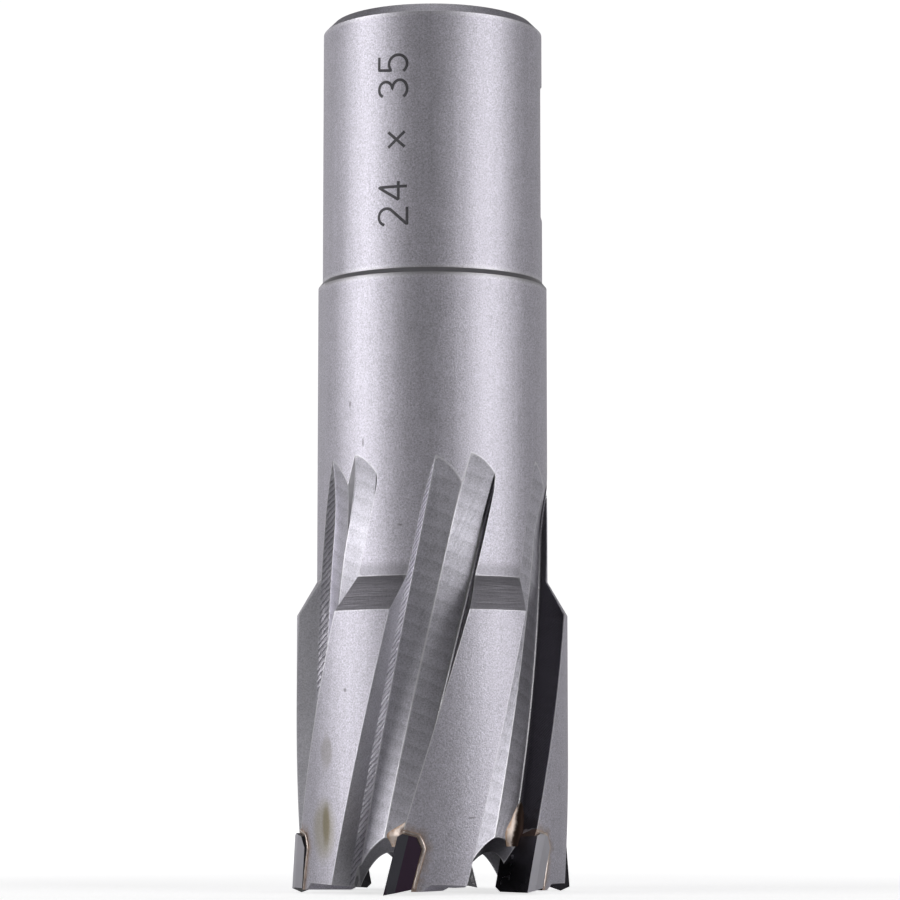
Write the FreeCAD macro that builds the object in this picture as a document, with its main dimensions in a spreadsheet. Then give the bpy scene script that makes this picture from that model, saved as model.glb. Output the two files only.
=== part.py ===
"""Annular cutter: a hollow steel body with a clamping shank, six helical flutes and six brazed carbide tips.

The frame stands on the tips: origin at the bottom on the axis, +Z up the axis towards the shank, +X the outward
direction of the first clamping flat and +Y that of the second. All lengths are in millimetres, all angles in degrees.
"""

import FreeCAD, Part
import math
import os

import Sketcher

from FreeCAD import Placement, Rotation, Vector

# Driving sizes, each a cell of the sheet with its name as the alias
SIZES = {
    # heights above the plane the tips stand on
    "overall_height": 75.0,
    "shank_bottom": 52.2,
    "neck_top": 51.75,
    "cone_top": 26.3,
    "cone_bottom": 23.4,
    "heel_height": 0.3,
    "land_height": 1.0,
    # turned diameters and the bores
    "shank_diameter": 19.05,
    "neck_diameter": 19.8,
    "body_diameter": 23.2,
    "cutting_diameter": 24.0,
    "core_diameter": 16.4,
    "slot_inner_diameter": 15.2,
    "pilot_diameter": 8.0,
    "shank_chamfer": 0.85,
    "pilot_chamfer": 0.7,
    "core_top": 38.5,
    "core_top_rise": 1.6,
    "core_mouth_chamfer": 0.15,
    # clamping flats
    "flat_depth": 1.5,
    "flat_bottom": 57.3,
    "flat_top": 70.0,
    "flat_ramp": 0.55,
    # flutes
    "tooth_count": 6,
    "flute_bottom": 0.0,
    "flute_end": 29.7,
    "floor_radius": 9.1,
    "flute_outside": 12.9,
    "back_lead": 290.3,
    "face_lead": 240.0,
    "back_azimuth": -38.4,
    "face_azimuth": -11.3,
    "flank_corner_radius": 9.88,
    "flank_corner_turn": 1.8,
    "strip_foot_turn": 3.6,
    "back_floor_turn": 8.2,
    "back_floor_end_turn": 23.5,
    "face_rake": 7.0,
    "face_floor_turn": -5.7,
    "face_strip_foot_turn": -16.0,
    "face_strip_lean": 15.0,
    "corner_fillet": 0.32,
    "disc_radius": 28.0,
    "disc_extra": 0.02,
    "disc_start": -3.0,
    "disc_sector": 26.0,
    # carbide tips
    "tip_azimuth": -8.0,
    "tip_reference": 2.6,
    "tip_thickness": 2.02,
    "tip_lean": 14.2,
    "tip_rake": 7.0,
    "tip_top": 2.56,
    "tip_front_chamfer_wide": 0.35,
    "tip_front_chamfer_high": 0.3,
    "tip_back_chamfer_wide": 0.6,
    "tip_back_chamfer_high": 0.8,
    "tip_margin_width": 0.9,
    "tip_back_radius": 11.78,
    "tip_inner_back_radius": 7.72,
    "tip_end_relief": 9.0,
    # braze seams, seats and the relief behind them
    "braze_gap": 0.35,
    "seam_front": 0.15,
    "seam_proud": 0.06,
    "heel_width": 0.3,
    "heel_slope": 45.0,
    "land_tilt": 3.5,
    "land_rise": 0.05,
    "land_reach": 7.6,
    # gullets
    "gullet_radius": 3.18,
    "gullet_slope": 52.0,
    "gullet_width": 4.1,
    "gullet_side": 1.6,
    "gullet_front": 3.0,
}

# End profiles of the tips: (radius, height above the standing plane), outside first
END_PROFILES = (
    ((12.4, 0.52), (11.2, 0.0), (7.2, 1.45)),
    ((12.4, -0.05), (12.0, 0.0), (7.2, 0.85)),
    ((12.4, 0.15), (8.35, 0.15), (7.2, 0.75)),
)

doc = FreeCAD.newDocument("annular_cutter")
sheet = doc.addObject("Spreadsheet::Sheet", "sizes")


aliases = []


def add_cell(alias, value):
    """Write one number in the next row of the sheet under its alias."""
    aliases.append(alias)
    row = len(aliases)
    sheet.set(f"A{row}", alias)
    sheet.set(f"B{row}", str(value))
    sheet.setAlias(f"B{row}", alias)


for size_name, size_value in SIZES.items():
    add_cell(size_name, size_value)
doc.recompute()


def size(alias):
    """Return a driving size as a number."""
    return SIZES[alias]


def cell(alias):
    """Return the expression that reads a size from the sheet."""
    return f"sizes.{alias}"


def number(expression):
    """Return the value of an expression as a plain number."""
    value = sheet.evalExpression(expression)
    return float(getattr(value, "Value", value))


def polar(radius, turn):
    """Return the coordinate expressions of a point given by its radius and its turn in degrees."""
    return (f"({radius}) * cos(({turn}) * 1 deg)", f"({radius}) * sin(({turn}) * 1 deg)")


def sine(degrees):
    """Return the sine of an angle in degrees."""
    return math.sin(math.radians(degrees))


def cosine(degrees):
    """Return the cosine of an angle in degrees."""
    return math.cos(math.radians(degrees))


def tangent(degrees):
    """Return the tangent of an angle in degrees."""
    return math.tan(math.radians(degrees))


def bind_point(sketch, line, end, point):
    """Hold one end of a sketch line at a point whose coordinates are expressions."""
    for kind, axis, expression in (("DistanceX", -2, point[0]), ("DistanceY", -1, point[1])):
        value = number(expression)
        if abs(value) < 1e-9:
            sketch.addConstraint(Sketcher.Constraint("PointOnObject", line, end, axis))
        elif value > 0:
            index = sketch.addConstraint(Sketcher.Constraint(kind, -1, 1, line, end, value))
            sketch.setExpression(f"Constraints[{index}]", expression)
        else:
            index = sketch.addConstraint(Sketcher.Constraint(kind, line, end, -1, 1, -value))
            sketch.setExpression(f"Constraints[{index}]", f"-({expression})")


def outline(sketch, points, arcs=None):
    """Draw a closed outline through points given as pairs of expressions.

    Args:
        sketch: the sketch to draw in.
        points: pairs of expressions, one pair per corner.
        arcs: for each edge that is an arc, its middle point and its radius expression, by the edge's number.
    """
    arcs = arcs or {}
    corners = [Vector(number(x), number(y), 0) for x, y in points]
    count = len(corners)
    ends = []
    for i in range(count):
        start, stop = corners[i], corners[(i + 1) % count]
        if i in arcs:
            curve = Part.Arc(start, arcs[i][0], stop)
            sketch.addGeometry(curve, False)
            flipped = sketch.getPoint(i, 1).distanceToPoint(start) > 1e-6
            ends.append((2, 1) if flipped else (1, 2))
        else:
            sketch.addGeometry(Part.LineSegment(start, stop), False)
            ends.append((1, 2))
    for i in range(count):
        after = (i + 1) % count
        sketch.addConstraint(Sketcher.Constraint("Coincident", i, ends[i][1], after, ends[after][0]))
    for i in range(count):
        bind_point(sketch, i, ends[i][0], points[i])
    for i, (_, radius) in arcs.items():
        index = sketch.addConstraint(Sketcher.Constraint("Radius", i, number(radius)))
        sketch.setExpression(f"Constraints[{index}]", radius)
    return sketch


def origin_feature(body, role):
    """Return an origin plane or axis of a body."""
    return next(f for f in body.Origin.OriginFeatures if f.Role == role)


def body_sketch(body, role, name, points):
    """Return an outline on one of the origin planes of a body."""
    sketch = body.newObject("Sketcher::SketchObject", name)
    sketch.AttachmentSupport = [(origin_feature(body, role), "")]
    sketch.MapMode = "FlatFace"
    return outline(sketch, points)


def free_sketch(name, placement, points, arcs=None):
    """Return an outline on a plane of its own."""
    sketch = doc.addObject("Sketcher::SketchObject", name)
    sketch.Placement = placement
    return outline(sketch, points, arcs)


def extrusion(name, sketch, direction, forward, backward):
    """Return an outline extruded along a direction by a length forwards and one backwards."""
    solid = doc.addObject("Part::Extrusion", name)
    solid.Base = sketch
    solid.DirMode = "Custom"
    solid.Dir = direction
    solid.LengthFwd = forward
    solid.LengthRev = backward
    solid.Solid = True
    return solid


def around(name, tool):
    """Return the tool repeated once per tooth round the axis."""
    copies = []
    count = int(size("tooth_count"))
    for i in range(count):
        copy = doc.addObject("App::Link", f"{name}_{i + 1}")
        copy.LinkedObject = tool
        copy.Placement = Placement(Vector(), Rotation(Vector(0, 0, 1), 360.0 / count * i))
        copies.append(copy)
    ring = doc.addObject("Part::Compound", f"{name}_ring")
    ring.Links = copies
    return ring


def cut(name, base, tool):
    """Return the base less the tool."""
    result = doc.addObject("Part::Cut", name)
    result.Base = base
    result.Tool = tool
    return result


# The turned blank with the hollow core and the pilot bore
core_r = "sizes.core_diameter / 2"
body_r = "sizes.body_diameter / 2"
neck_r = "sizes.neck_diameter / 2"
shank_r = "sizes.shank_diameter / 2"
pilot_r = "sizes.pilot_diameter / 2"
blank = doc.addObject("PartDesign::Body", "turned_blank")
blank_profile = body_sketch(
    blank,
    "XZ_Plane",
    "blank_profile",
    [
        (f"{core_r} + sizes.core_mouth_chamfer", cell("heel_height")),
        (body_r, cell("heel_height")),
        (body_r, cell("cone_bottom")),
        (neck_r, cell("cone_top")),
        (neck_r, cell("neck_top")),
        (shank_r, cell("shank_bottom")),
        (shank_r, "sizes.overall_height - sizes.shank_chamfer"),
        (f"{shank_r} - sizes.shank_chamfer", cell("overall_height")),
        (f"{pilot_r} + sizes.pilot_chamfer", cell("overall_height")),
        (pilot_r, "sizes.overall_height - sizes.pilot_chamfer"),
        (pilot_r, "sizes.core_top + sizes.core_top_rise"),
        (core_r, cell("core_top")),
        (core_r, "sizes.heel_height + sizes.core_mouth_chamfer"),
    ],
)
turning = blank.newObject("PartDesign::Revolution", "turning")
turning.Profile = blank_profile
turning.ReferenceAxis = (origin_feature(blank, "Z_Axis"), [""])
turning.Angle = 360.0

# Two clamping flats at right angles, each with a short ramp at either end
for plane_role, flat_name in (("XZ_Plane", "first_flat"), ("YZ_Plane", "second_flat")):
    flat_profile = body_sketch(
        blank,
        plane_role,
        f"{flat_name}_profile",
        [
            (f"{shank_r} - sizes.flat_depth", "sizes.flat_bottom + sizes.flat_ramp"),
            (f"{shank_r} + 1", "sizes.flat_bottom - sizes.flat_ramp / 2"),
            (f"{shank_r} + 1", "sizes.flat_top + sizes.flat_ramp / 2"),
            (f"{shank_r} - sizes.flat_depth", "sizes.flat_top - sizes.flat_ramp"),
        ],
    )
    flat = blank.newObject("PartDesign::Pocket", flat_name)
    flat.Profile = flat_profile
    flat.Midplane = True
    flat.Length = size("shank_diameter")
    flat.setExpression("Length", cell("shank_diameter"))
doc.recompute()


# Flutes: two passes of one disc-shaped milling cutter up a screw, each ending in the arc of the disc
def screw(name, lead, azimuth, points, arcs=None):
    """Return a transverse outline swept up the flute along a right-handed screw.

    Args:
        name: name of the sweep.
        lead: alias of the lead.
        azimuth: alias of the azimuth of the flute's edge at the standing plane.
        points: outline square to the axis, its first axis through the edge.
        arcs: arcs of the outline, as outline() takes them.
    """
    start = Vector(0, 0, size("flute_bottom"))
    turn = number(f"sizes.{azimuth} + 360 * sizes.flute_bottom / sizes.{lead}")
    spine = doc.addObject("Part::Helix", f"{name}_spine")
    spine.LocalCoord = "Right-handed"
    spine.setExpression("Pitch", cell(lead))
    spine.setExpression("Height", "sizes.flute_end - sizes.flute_bottom")
    spine.setExpression("Radius", cell("floor_radius"))
    spine.Placement = Placement(start, Rotation(Vector(0, 0, 1), turn))
    profile = free_sketch(f"{name}_profile", spine.Placement, points, arcs)
    doc.recompute()
    sweep = doc.addObject("Part::Sweep", name)
    sweep.Sections = [profile]
    sweep.Spine = (spine, ["Edge1"])
    sweep.Solid = True
    sweep.Frenet = True
    return sweep


def run_out(name, lead, azimuth, floor_turn, profile):
    """Return the sector of the disc that forms the upper end of one pass.

    Args:
        name: name of the sector.
        lead: alias of the lead.
        azimuth: alias of the azimuth of the flute's edge at the standing plane.
        floor_turn: alias of the turn from that edge to the normal of the floor.
        profile: outline in the plane square to the flute, as numbers across from and out along the floor normal.
    """
    turn = size(azimuth) + 360.0 * size("flute_end") / size(lead) + size(floor_turn)
    lean = math.degrees(math.atan(2 * math.pi * size("floor_radius") / size(lead)))
    hub = Vector(0, size("floor_radius") + size("disc_radius"), 0)
    frame = Placement(Vector(0, 0, size("flute_end")), Rotation(Vector(0, 0, 1), turn - 90.0))
    frame = frame.multiply(Placement(Vector(), Rotation(Vector(0, 1, 0), -lean)))
    lowered = frame.multiply(Placement(hub, Rotation(Vector(1, 0, 0), -size("disc_start"))))
    lowered = lowered.multiply(Placement(hub.negative(), Rotation()))
    points = [(f"{-across:.6f}", f"{out:.6f}") for across, out in profile]
    sketch = free_sketch(f"{name}_profile", lowered, points)
    doc.recompute()
    sector = doc.addObject("Part::Revolution", name)
    sector.Source = sketch
    sector.Base = frame.multVec(hub)
    sector.Axis = frame.Rotation.multVec(Vector(-1, 0, 0))
    sector.Solid = True
    sector.setExpression("Angle", cell("disc_sector"))
    return sector


floor_radius = size("floor_radius")
outside = size("flute_outside")
extra = size("disc_extra")
clear = outside - floor_radius

# First pass: trailing flank of the land, narrow strip beside it and the back half of the floor
back_floor = "sizes.floor_radius / cos((({turn}) - sizes.back_floor_turn) * 1 deg)"
flank_start = Vector(size("body_diameter") / 2, 0, 0)
flank_corner = Vector(
    size("flank_corner_radius") * cosine(size("flank_corner_turn")),
    size("flank_corner_radius") * sine(size("flank_corner_turn")),
    0,
)
flank_outer = flank_start + (flank_start - flank_corner) * 0.75
add_cell("flank_outer_across", round(flank_outer.x, 6))
add_cell("flank_outer_along", round(flank_outer.y, 6))
doc.recompute()
back_pass = screw(
    "back_pass",
    "back_lead",
    "back_azimuth",
    [
        (cell("flank_outer_across"), cell("flank_outer_along")),
        polar(cell("flank_corner_radius"), cell("flank_corner_turn")),
        polar(back_floor.format(turn=cell("strip_foot_turn")), cell("strip_foot_turn")),
        polar(back_floor.format(turn=cell("back_floor_end_turn")), cell("back_floor_end_turn")),
        polar(cell("flute_outside"), cell("back_floor_end_turn")),
    ],
)
foot = floor_radius * tangent(size("strip_foot_turn") - size("back_floor_turn"))
strip_turn = size("flank_corner_turn") - size("back_floor_turn")
strip_top = (size("flank_corner_radius") * sine(strip_turn), size("flank_corner_radius") * cosine(strip_turn))
strip_slope = (strip_top[0] - foot) / (strip_top[1] - floor_radius)
back_end = floor_radius * tangent(size("back_floor_end_turn") - size("back_floor_turn"))
back_arc = run_out(
    "back_arc",
    "back_lead",
    "back_azimuth",
    "back_floor_turn",
    [
        (foot - extra, floor_radius - extra),
        (back_end, floor_radius - extra),
        (back_end, outside),
        (foot - extra + strip_slope * clear, outside),
    ],
)

# Second pass: front half of the floor, rounded corner and the rake face of the land
rake = size("face_rake")
floor_turn = size("face_floor_turn")
floor_normal = Vector(cosine(floor_turn), sine(floor_turn), 0)
floor_along = Vector(-sine(floor_turn), cosine(floor_turn), 0)
rake_out = Vector(cosine(rake), -sine(rake), 0)
edge = Vector(size("body_diameter") / 2, 0, 0)
corner = edge - rake_out * ((edge.dot(floor_normal) - floor_radius) / rake_out.dot(floor_normal))
corner_angle = math.degrees(rake_out.getAngle(floor_along.negative()))
fillet_reach = size("corner_fillet") / tangent(corner_angle / 2)
fillet_floor = corner - floor_along * fillet_reach
fillet_wall = corner + rake_out * fillet_reach
fillet_centre = fillet_floor + floor_normal * size("corner_fillet")
fillet_middle = fillet_centre + (corner - fillet_centre).normalize() * size("corner_fillet")
rake_outer = edge + rake_out * (outside - edge.x)
face_foot_turn = size("face_strip_foot_turn")
face_foot_radius = floor_radius / cosine(face_foot_turn - floor_turn)
face_foot = Vector(face_foot_radius * cosine(face_foot_turn), face_foot_radius * sine(face_foot_turn), 0)
strip_lean = face_foot_turn - size("face_strip_lean")
face_outer = face_foot + Vector(cosine(strip_lean), sine(strip_lean), 0) * (clear / cosine(size("face_strip_lean")))
face_points = []
for point_name, point in (
    ("fillet_floor", fillet_floor),
    ("fillet_wall", fillet_wall),
    ("rake_outer", rake_outer),
    ("face_outer", face_outer),
    ("face_foot", face_foot),
):
    add_cell(f"{point_name}_across", round(point.x, 6))
    add_cell(f"{point_name}_along", round(point.y, 6))
    face_points.append((cell(f"{point_name}_across"), cell(f"{point_name}_along")))
doc.recompute()
face_pass = screw(
    "face_pass",
    "face_lead",
    "face_azimuth",
    face_points,
    {0: (fillet_middle, cell("corner_fillet"))},
)
corner_across = corner.dot(floor_along)
wall_slope = rake_out.dot(floor_along) / rake_out.dot(floor_normal)
face_foot_across = face_foot.dot(floor_along)
lean_slope = tangent(strip_lean - floor_turn)
face_arc = run_out(
    "face_arc",
    "face_lead",
    "face_azimuth",
    "face_floor_turn",
    [
        (face_foot_across - extra, floor_radius - extra),
        (corner_across + extra - fillet_reach, floor_radius - extra),
        (corner_across + extra, floor_radius - extra + fillet_reach),
        (corner_across + extra + wall_slope * clear, outside),
        (face_foot_across - extra + lean_slope * clear, outside),
    ],
)
flute = doc.addObject("Part::MultiFuse", "flute")
flute.Shapes = [back_pass, back_arc, face_pass, face_arc]
doc.recompute()

# Frames of the teeth: x outwards along the rake face, y square to it towards the back, z up along the lean
TEETH = range(int(size("tooth_count")))
TOOTH_TURN = 360.0 / size("tooth_count")
TIP_RADIUS = size("cutting_diameter") / 2


def tooth_frame(i):
    """Return the frame of a tooth, its origin on the cutting edge at the reference height."""
    turn = size("tip_azimuth") + TOOTH_TURN * i
    frame = Placement(Vector(), Rotation(Vector(0, 0, 1), turn))
    frame = frame.multiply(Placement(Vector(TIP_RADIUS, 0, size("tip_reference")), Rotation()))
    frame = frame.multiply(Placement(Vector(), Rotation(Vector(1, 0, 0), -size("tip_lean"))))
    return frame.multiply(Placement(Vector(), Rotation(Vector(0, 0, 1), -size("tip_rake"))))


FIRST = tooth_frame(0)
ACROSS, BACK, UP = (FIRST.Rotation.multVec(axis) for axis in (Vector(1, 0, 0), Vector(0, 1, 0), Vector(0, 0, 1)))


def lift(across, back, height):
    """Return the frame's upward coordinate of a point at a height above the standing plane."""
    return round((height - size("tip_reference") - across * ACROSS.z - back * BACK.z) / UP.z, 6)


def reach(radius, back):
    """Return the frame's outward coordinate of a point at a radius from the axis, level with the origin."""
    spoke = Vector(cosine(size("tip_rake")), sine(size("tip_rake")), 0) * TIP_RADIUS
    return round(math.sqrt(radius**2 - (spoke.y + back) ** 2) - spoke.x, 6)


SIDE = Placement(Vector(), Rotation(Vector(0, 1, 0), Vector(0, 0, 1), Vector(1, 0, 0), "ZXY"))
FACE = Placement(Vector(), Rotation(Vector(1, 0, 0), 90))


def plain(points):
    """Return points given as numbers in the form the outlines take."""
    return [(f"{x:.6f}", f"{y:.6f}") for x, y in points]


thick = size("tip_thickness")
top = size("tip_top")
gap = size("braze_gap")
low = lift(0, 0, -1.2)
seat_back = thick + gap
front_wide, front_high = cell("tip_front_chamfer_wide"), cell("tip_front_chamfer_high")
back_wide, back_high = cell("tip_back_chamfer_wide"), cell("tip_back_chamfer_high")
# the outer corners of the seat follow the chamfer at an even gap
bevel = math.atan2(size("tip_back_chamfer_high"), size("tip_back_chamfer_wide"))
bevel_high = round(gap * math.tan((math.pi / 2 - bevel) / 2), 6)
bevel_wide = round(gap * math.tan(bevel / 2), 6)
add_cell("seat_bevel_high", bevel_high)
add_cell("seat_bevel_wide", bevel_wide)
add_cell("tool_bottom", low)
doc.recompute()

TIP_SIDE = [
    ("0", cell("tool_bottom")),
    (cell("tip_thickness"), cell("tool_bottom")),
    (cell("tip_thickness"), f"sizes.tip_top - {back_high}"),
    (f"sizes.tip_thickness - {back_wide}", cell("tip_top")),
    (front_wide, cell("tip_top")),
    ("0", f"sizes.tip_top - {front_high}"),
]
SEAT_BACK = [
    ("sizes.tip_thickness + sizes.braze_gap", cell("tool_bottom")),
    ("sizes.tip_thickness + sizes.braze_gap", f"sizes.tip_top - {back_high} + sizes.seat_bevel_high"),
    (f"sizes.tip_thickness - {back_wide} + sizes.seat_bevel_wide", "sizes.tip_top + sizes.braze_gap"),
]
SEAT_FRONT = [
    (cell("seam_front"), "sizes.tip_top + sizes.braze_gap"),
    ("0", f"sizes.tip_top - {front_high}"),
]
SEAT_SIDE = [("0", cell("tool_bottom"))] + SEAT_BACK + SEAT_FRONT
SEAM_SIDE = SEAT_BACK + SEAT_FRONT + [
    (front_wide, cell("tip_top")),
    (f"sizes.tip_thickness - {back_wide}", cell("tip_top")),
    (cell("tip_thickness"), f"sizes.tip_top - {back_high}"),
    (cell("tip_thickness"), cell("tool_bottom")),
]
TIP_PLAN = plain(
    [
        (0.0, 0.0),
        (reach(TIP_RADIUS, size("tip_margin_width")), size("tip_margin_width")),
        (reach(size("tip_back_radius"), thick), thick),
        (reach(size("tip_inner_back_radius"), thick), thick),
        (reach(size("slot_inner_diameter") / 2, 0.0), 0.0),
    ]
)


def side_solid(name, frame, points, forward, backward):
    """Return an outline in the side view of a tooth extruded outwards and inwards along the rake face."""
    sketch = free_sketch(f"{name}_profile", frame.multiply(SIDE), points)
    return extrusion(name, sketch, frame.Rotation.multVec(Vector(1, 0, 0)), forward, backward)


def end_points(kind):
    """Return the outline above the end edge of one kind of tip, in the plane of the rake face."""
    edge_points = []
    for radius, height in END_PROFILES[kind]:
        across = reach(radius, 0.0)
        edge_points.append((across, lift(across, 0.0, height)))
    return plain(edge_points + [(edge_points[-1][0], top + 1.0), (edge_points[0][0], top + 1.0)])


def carbide_tip(i):
    """Return one carbide tip: side view, plan and relieved end edge in common."""
    frame = tooth_frame(i)
    name = f"carbide_tip_{i + 1}"
    side = side_solid(f"{name}_side", frame, TIP_SIDE, 1.0, 6.0)
    plan_sketch = free_sketch(f"{name}_plan_profile", frame, TIP_PLAN)
    plan = extrusion(f"{name}_plan", plan_sketch, frame.Rotation.multVec(Vector(0, 0, 1)), 4.0, 6.0)
    level_back = Vector(BACK.x, BACK.y, 0).normalize()
    relief = level_back * cosine(size("tip_end_relief")) + Vector(0, 0, sine(size("tip_end_relief")))
    relief = Rotation(Vector(0, 0, 1), TOOTH_TURN * i).multVec(relief)
    end_sketch = free_sketch(f"{name}_end_profile", frame.multiply(FACE), end_points(i % len(END_PROFILES)))
    end = extrusion(f"{name}_end", end_sketch, relief, 3.5, 1.0)
    tip = doc.addObject("Part::MultiCommon", name)
    tip.Shapes = [side, plan, end]
    return tip


tips = [carbide_tip(i) for i in TEETH]

# Braze seams: the gap between tip and seat, trimmed to the wall of the body
tube_outside = doc.addObject("Part::Cylinder", "seam_outside")
tube_outside.setExpression("Radius", f"{body_r} + sizes.seam_proud")
tube_inside = doc.addObject("Part::Cylinder", "seam_inside")
tube_inside.setExpression("Radius", core_r)
for tube in (tube_outside, tube_inside):
    tube.setExpression("Height", cell("cone_bottom"))
    tube.Placement = Placement(Vector(0, 0, size("heel_height")), Rotation())
seam_ring = cut("seam_ring", tube_outside, tube_inside)
seams = []
for i in TEETH:
    seam_name = f"braze_seam_{i + 1}"
    wedge = side_solid(f"{seam_name}_side", tooth_frame(i), SEAM_SIDE, 2.0, 6.0)
    seam = doc.addObject("Part::MultiCommon", seam_name)
    seam.Shapes = [wedge, seam_ring]
    seams.append(seam)

# Seats, and the relief that leaves a heel behind each tip and lifts the rest of the land
seat = side_solid("seat", FIRST, SEAT_SIDE, 2.5, 6.0)
heel = seat_back + size("heel_width")
heel_run = (size("land_height") - size("heel_height")) / tangent(size("heel_slope"))
land_end = size("land_reach")
land_points = [
    (heel, lift(0, heel, -1.2)),
    (land_end, lift(0, land_end, -1.2)),
    (land_end, lift(0, land_end, size("land_height") + size("land_rise"))),
    (heel + heel_run, lift(0, heel + heel_run, size("land_height"))),
    (heel, lift(0, heel, size("heel_height"))),
]
land_sketch = free_sketch("land_relief_profile", FIRST.multiply(SIDE), plain(land_points))
land_direction = Vector(cosine(size("land_tilt")), 0, sine(size("land_tilt")))
land_relief = extrusion("land_relief", land_sketch, FIRST.Rotation.multVec(land_direction), 2.5, 5.5)

# Gullets: a round-topped slot through the wall in front of each tip, square to the slope it is milled along
slope = size("gullet_slope")
gullet_frame = FIRST.multiply(Placement(Vector(), Rotation(Vector(0, 1, 0), 90.0 - slope)))
gullet_points = [
    ("-sizes.gullet_side", "-sizes.gullet_width"),
    ("-sizes.gullet_front", "0"),
    ("6", "0"),
    ("6", "-sizes.gullet_width"),
]
side_end = Vector(-size("gullet_side"), -size("gullet_width"), 0)
front_end = Vector(-size("gullet_front"), 0, 0)
chord = front_end - side_end
rise = size("gullet_radius") - math.sqrt(size("gullet_radius") ** 2 - (chord.Length / 2) ** 2)
roof_middle = (side_end + front_end) / 2 + Vector(-chord.y, chord.x, 0).normalize() * rise
gullet_sketch = free_sketch("gullet_profile", gullet_frame, gullet_points, {0: (roof_middle, cell("gullet_radius"))})
gullet = extrusion("gullet", gullet_sketch, gullet_frame.Rotation.multVec(Vector(0, 0, 1)), 4.0, 9.0)

# The finished body
fluted = cut("fluted_body", blank, around("flute", flute))
slotted = cut("slotted_body", fluted, around("gullet", gullet))
seated = cut("seated_body", slotted, around("seat", seat))
cutter_body = cut("cutter_body", seated, around("land_relief", land_relief))
doc.recompute()

# One file per sub-part, each object labelled with the name of its file
os.makedirs("parts", exist_ok=True)
for thing in doc.Objects:
    if "Invalid" in thing.State or "Error" in thing.State:
        raise RuntimeError(f"{thing.Name} did not compute")
for sub_part in [cutter_body] + tips + seams:
    sub_part.Label = sub_part.Name
    shape = sub_part.Shape
    if shape.isNull() or not shape.isValid() or len(shape.Solids) != 1:
        raise RuntimeError(f"{sub_part.Name} is not one sound solid")
    shape.Solids[0].exportStep(f"parts/{sub_part.Label}.step")
    box = shape.BoundBox
    print(f"{sub_part.Label}: {shape.Volume:.2f} mm3, z {box.ZMin:.3f} to {box.ZMax:.3f}, {len(shape.Faces)} faces")
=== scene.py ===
"""Looks of an annular cutter: satin steel body with milled flutes, carbide tips and their copper-coloured braze."""

import logging
import math
from dataclasses import dataclass
from enum import Enum

import bpy
import numpy as np
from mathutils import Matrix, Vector
from mathutils.kdtree import KDTree


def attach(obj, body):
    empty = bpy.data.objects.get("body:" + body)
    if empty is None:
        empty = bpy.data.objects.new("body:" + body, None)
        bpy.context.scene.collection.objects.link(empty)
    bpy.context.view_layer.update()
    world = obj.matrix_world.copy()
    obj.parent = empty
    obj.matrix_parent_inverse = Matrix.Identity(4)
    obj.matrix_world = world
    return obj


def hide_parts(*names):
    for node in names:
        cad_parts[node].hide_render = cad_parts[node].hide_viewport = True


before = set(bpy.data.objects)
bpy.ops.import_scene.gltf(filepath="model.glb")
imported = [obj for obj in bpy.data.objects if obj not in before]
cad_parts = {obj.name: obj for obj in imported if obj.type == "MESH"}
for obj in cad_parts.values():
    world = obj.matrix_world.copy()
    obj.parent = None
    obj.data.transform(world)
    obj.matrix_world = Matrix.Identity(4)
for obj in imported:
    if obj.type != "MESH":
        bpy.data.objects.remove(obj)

Points = np.ndarray
Pair = tuple[float, float]
Rgb = tuple[float, float, float]
Rgba = tuple[float, float, float, float]
Socket = bpy.types.NodeSocket

LOG = logging.getLogger("annular_cutter")
X, Y, Z = 0, 1, 2
MM = 0.001
TEETH = 6
PITCH = 360.0 / TEETH
FACING = -112.0  # direction of the camera's side, in degrees round the axis from +X
FREE = 20.0  # step of an edge that stays undivided, because it lies outside the metal


class Zone(Enum):
    """Finishes of the steel body, each with its slot on the body's mesh."""

    GROUND = 0
    FLOOR = 1
    RAKE = 2
    FLANK = 3
    GULLET = 4
    BORE = 5
    STEP = 6
    CONE = 7


# Geometry: matrices, outlines and closed solids


def rotation(axis: int, degrees: float) -> Points:
    """Turn about an axis, right-handed.

    Args:
        axis: X, Y or Z.
        degrees: angle of the turn.

    Returns:
        The 3 x 3 matrix.
    """
    a = math.radians(degrees)
    i, j = (axis + 1) % 3, (axis + 2) % 3
    matrix = np.eye(3)
    matrix[i, i] = matrix[j, j] = math.cos(a)
    matrix[j, i], matrix[i, j] = math.sin(a), -math.sin(a)
    return matrix


def heading(degrees: float) -> Points:
    """Return the plane unit vector at an angle."""
    return np.array([math.cos(math.radians(degrees)), math.sin(math.radians(degrees))])


def round_axis(radius: Points | float, angle: Points | float, z: Points | float) -> Points:
    """Return the points (r cos a, r sin a, z), the angle in radians, all three spread to one shape."""
    return np.stack(np.broadcast_arrays(radius * np.cos(angle), radius * np.sin(angle), z), axis=-1)


def turned_plane(plane: Points, angle: Points, z: Points) -> Points:
    """Turn plane points about the axis and lift them: P = Rz(a) p + (0, 0, z).

    Args:
        plane: points of the plane.
        angle: angle of each in radians.
        z: height of each.

    Returns:
        The points in space.
    """
    x, y = plane[..., 0], plane[..., 1]
    turned = x * np.cos(angle) - y * np.sin(angle), x * np.sin(angle) + y * np.cos(angle)
    return np.stack(np.broadcast_arrays(*turned, z), axis=-1)


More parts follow.
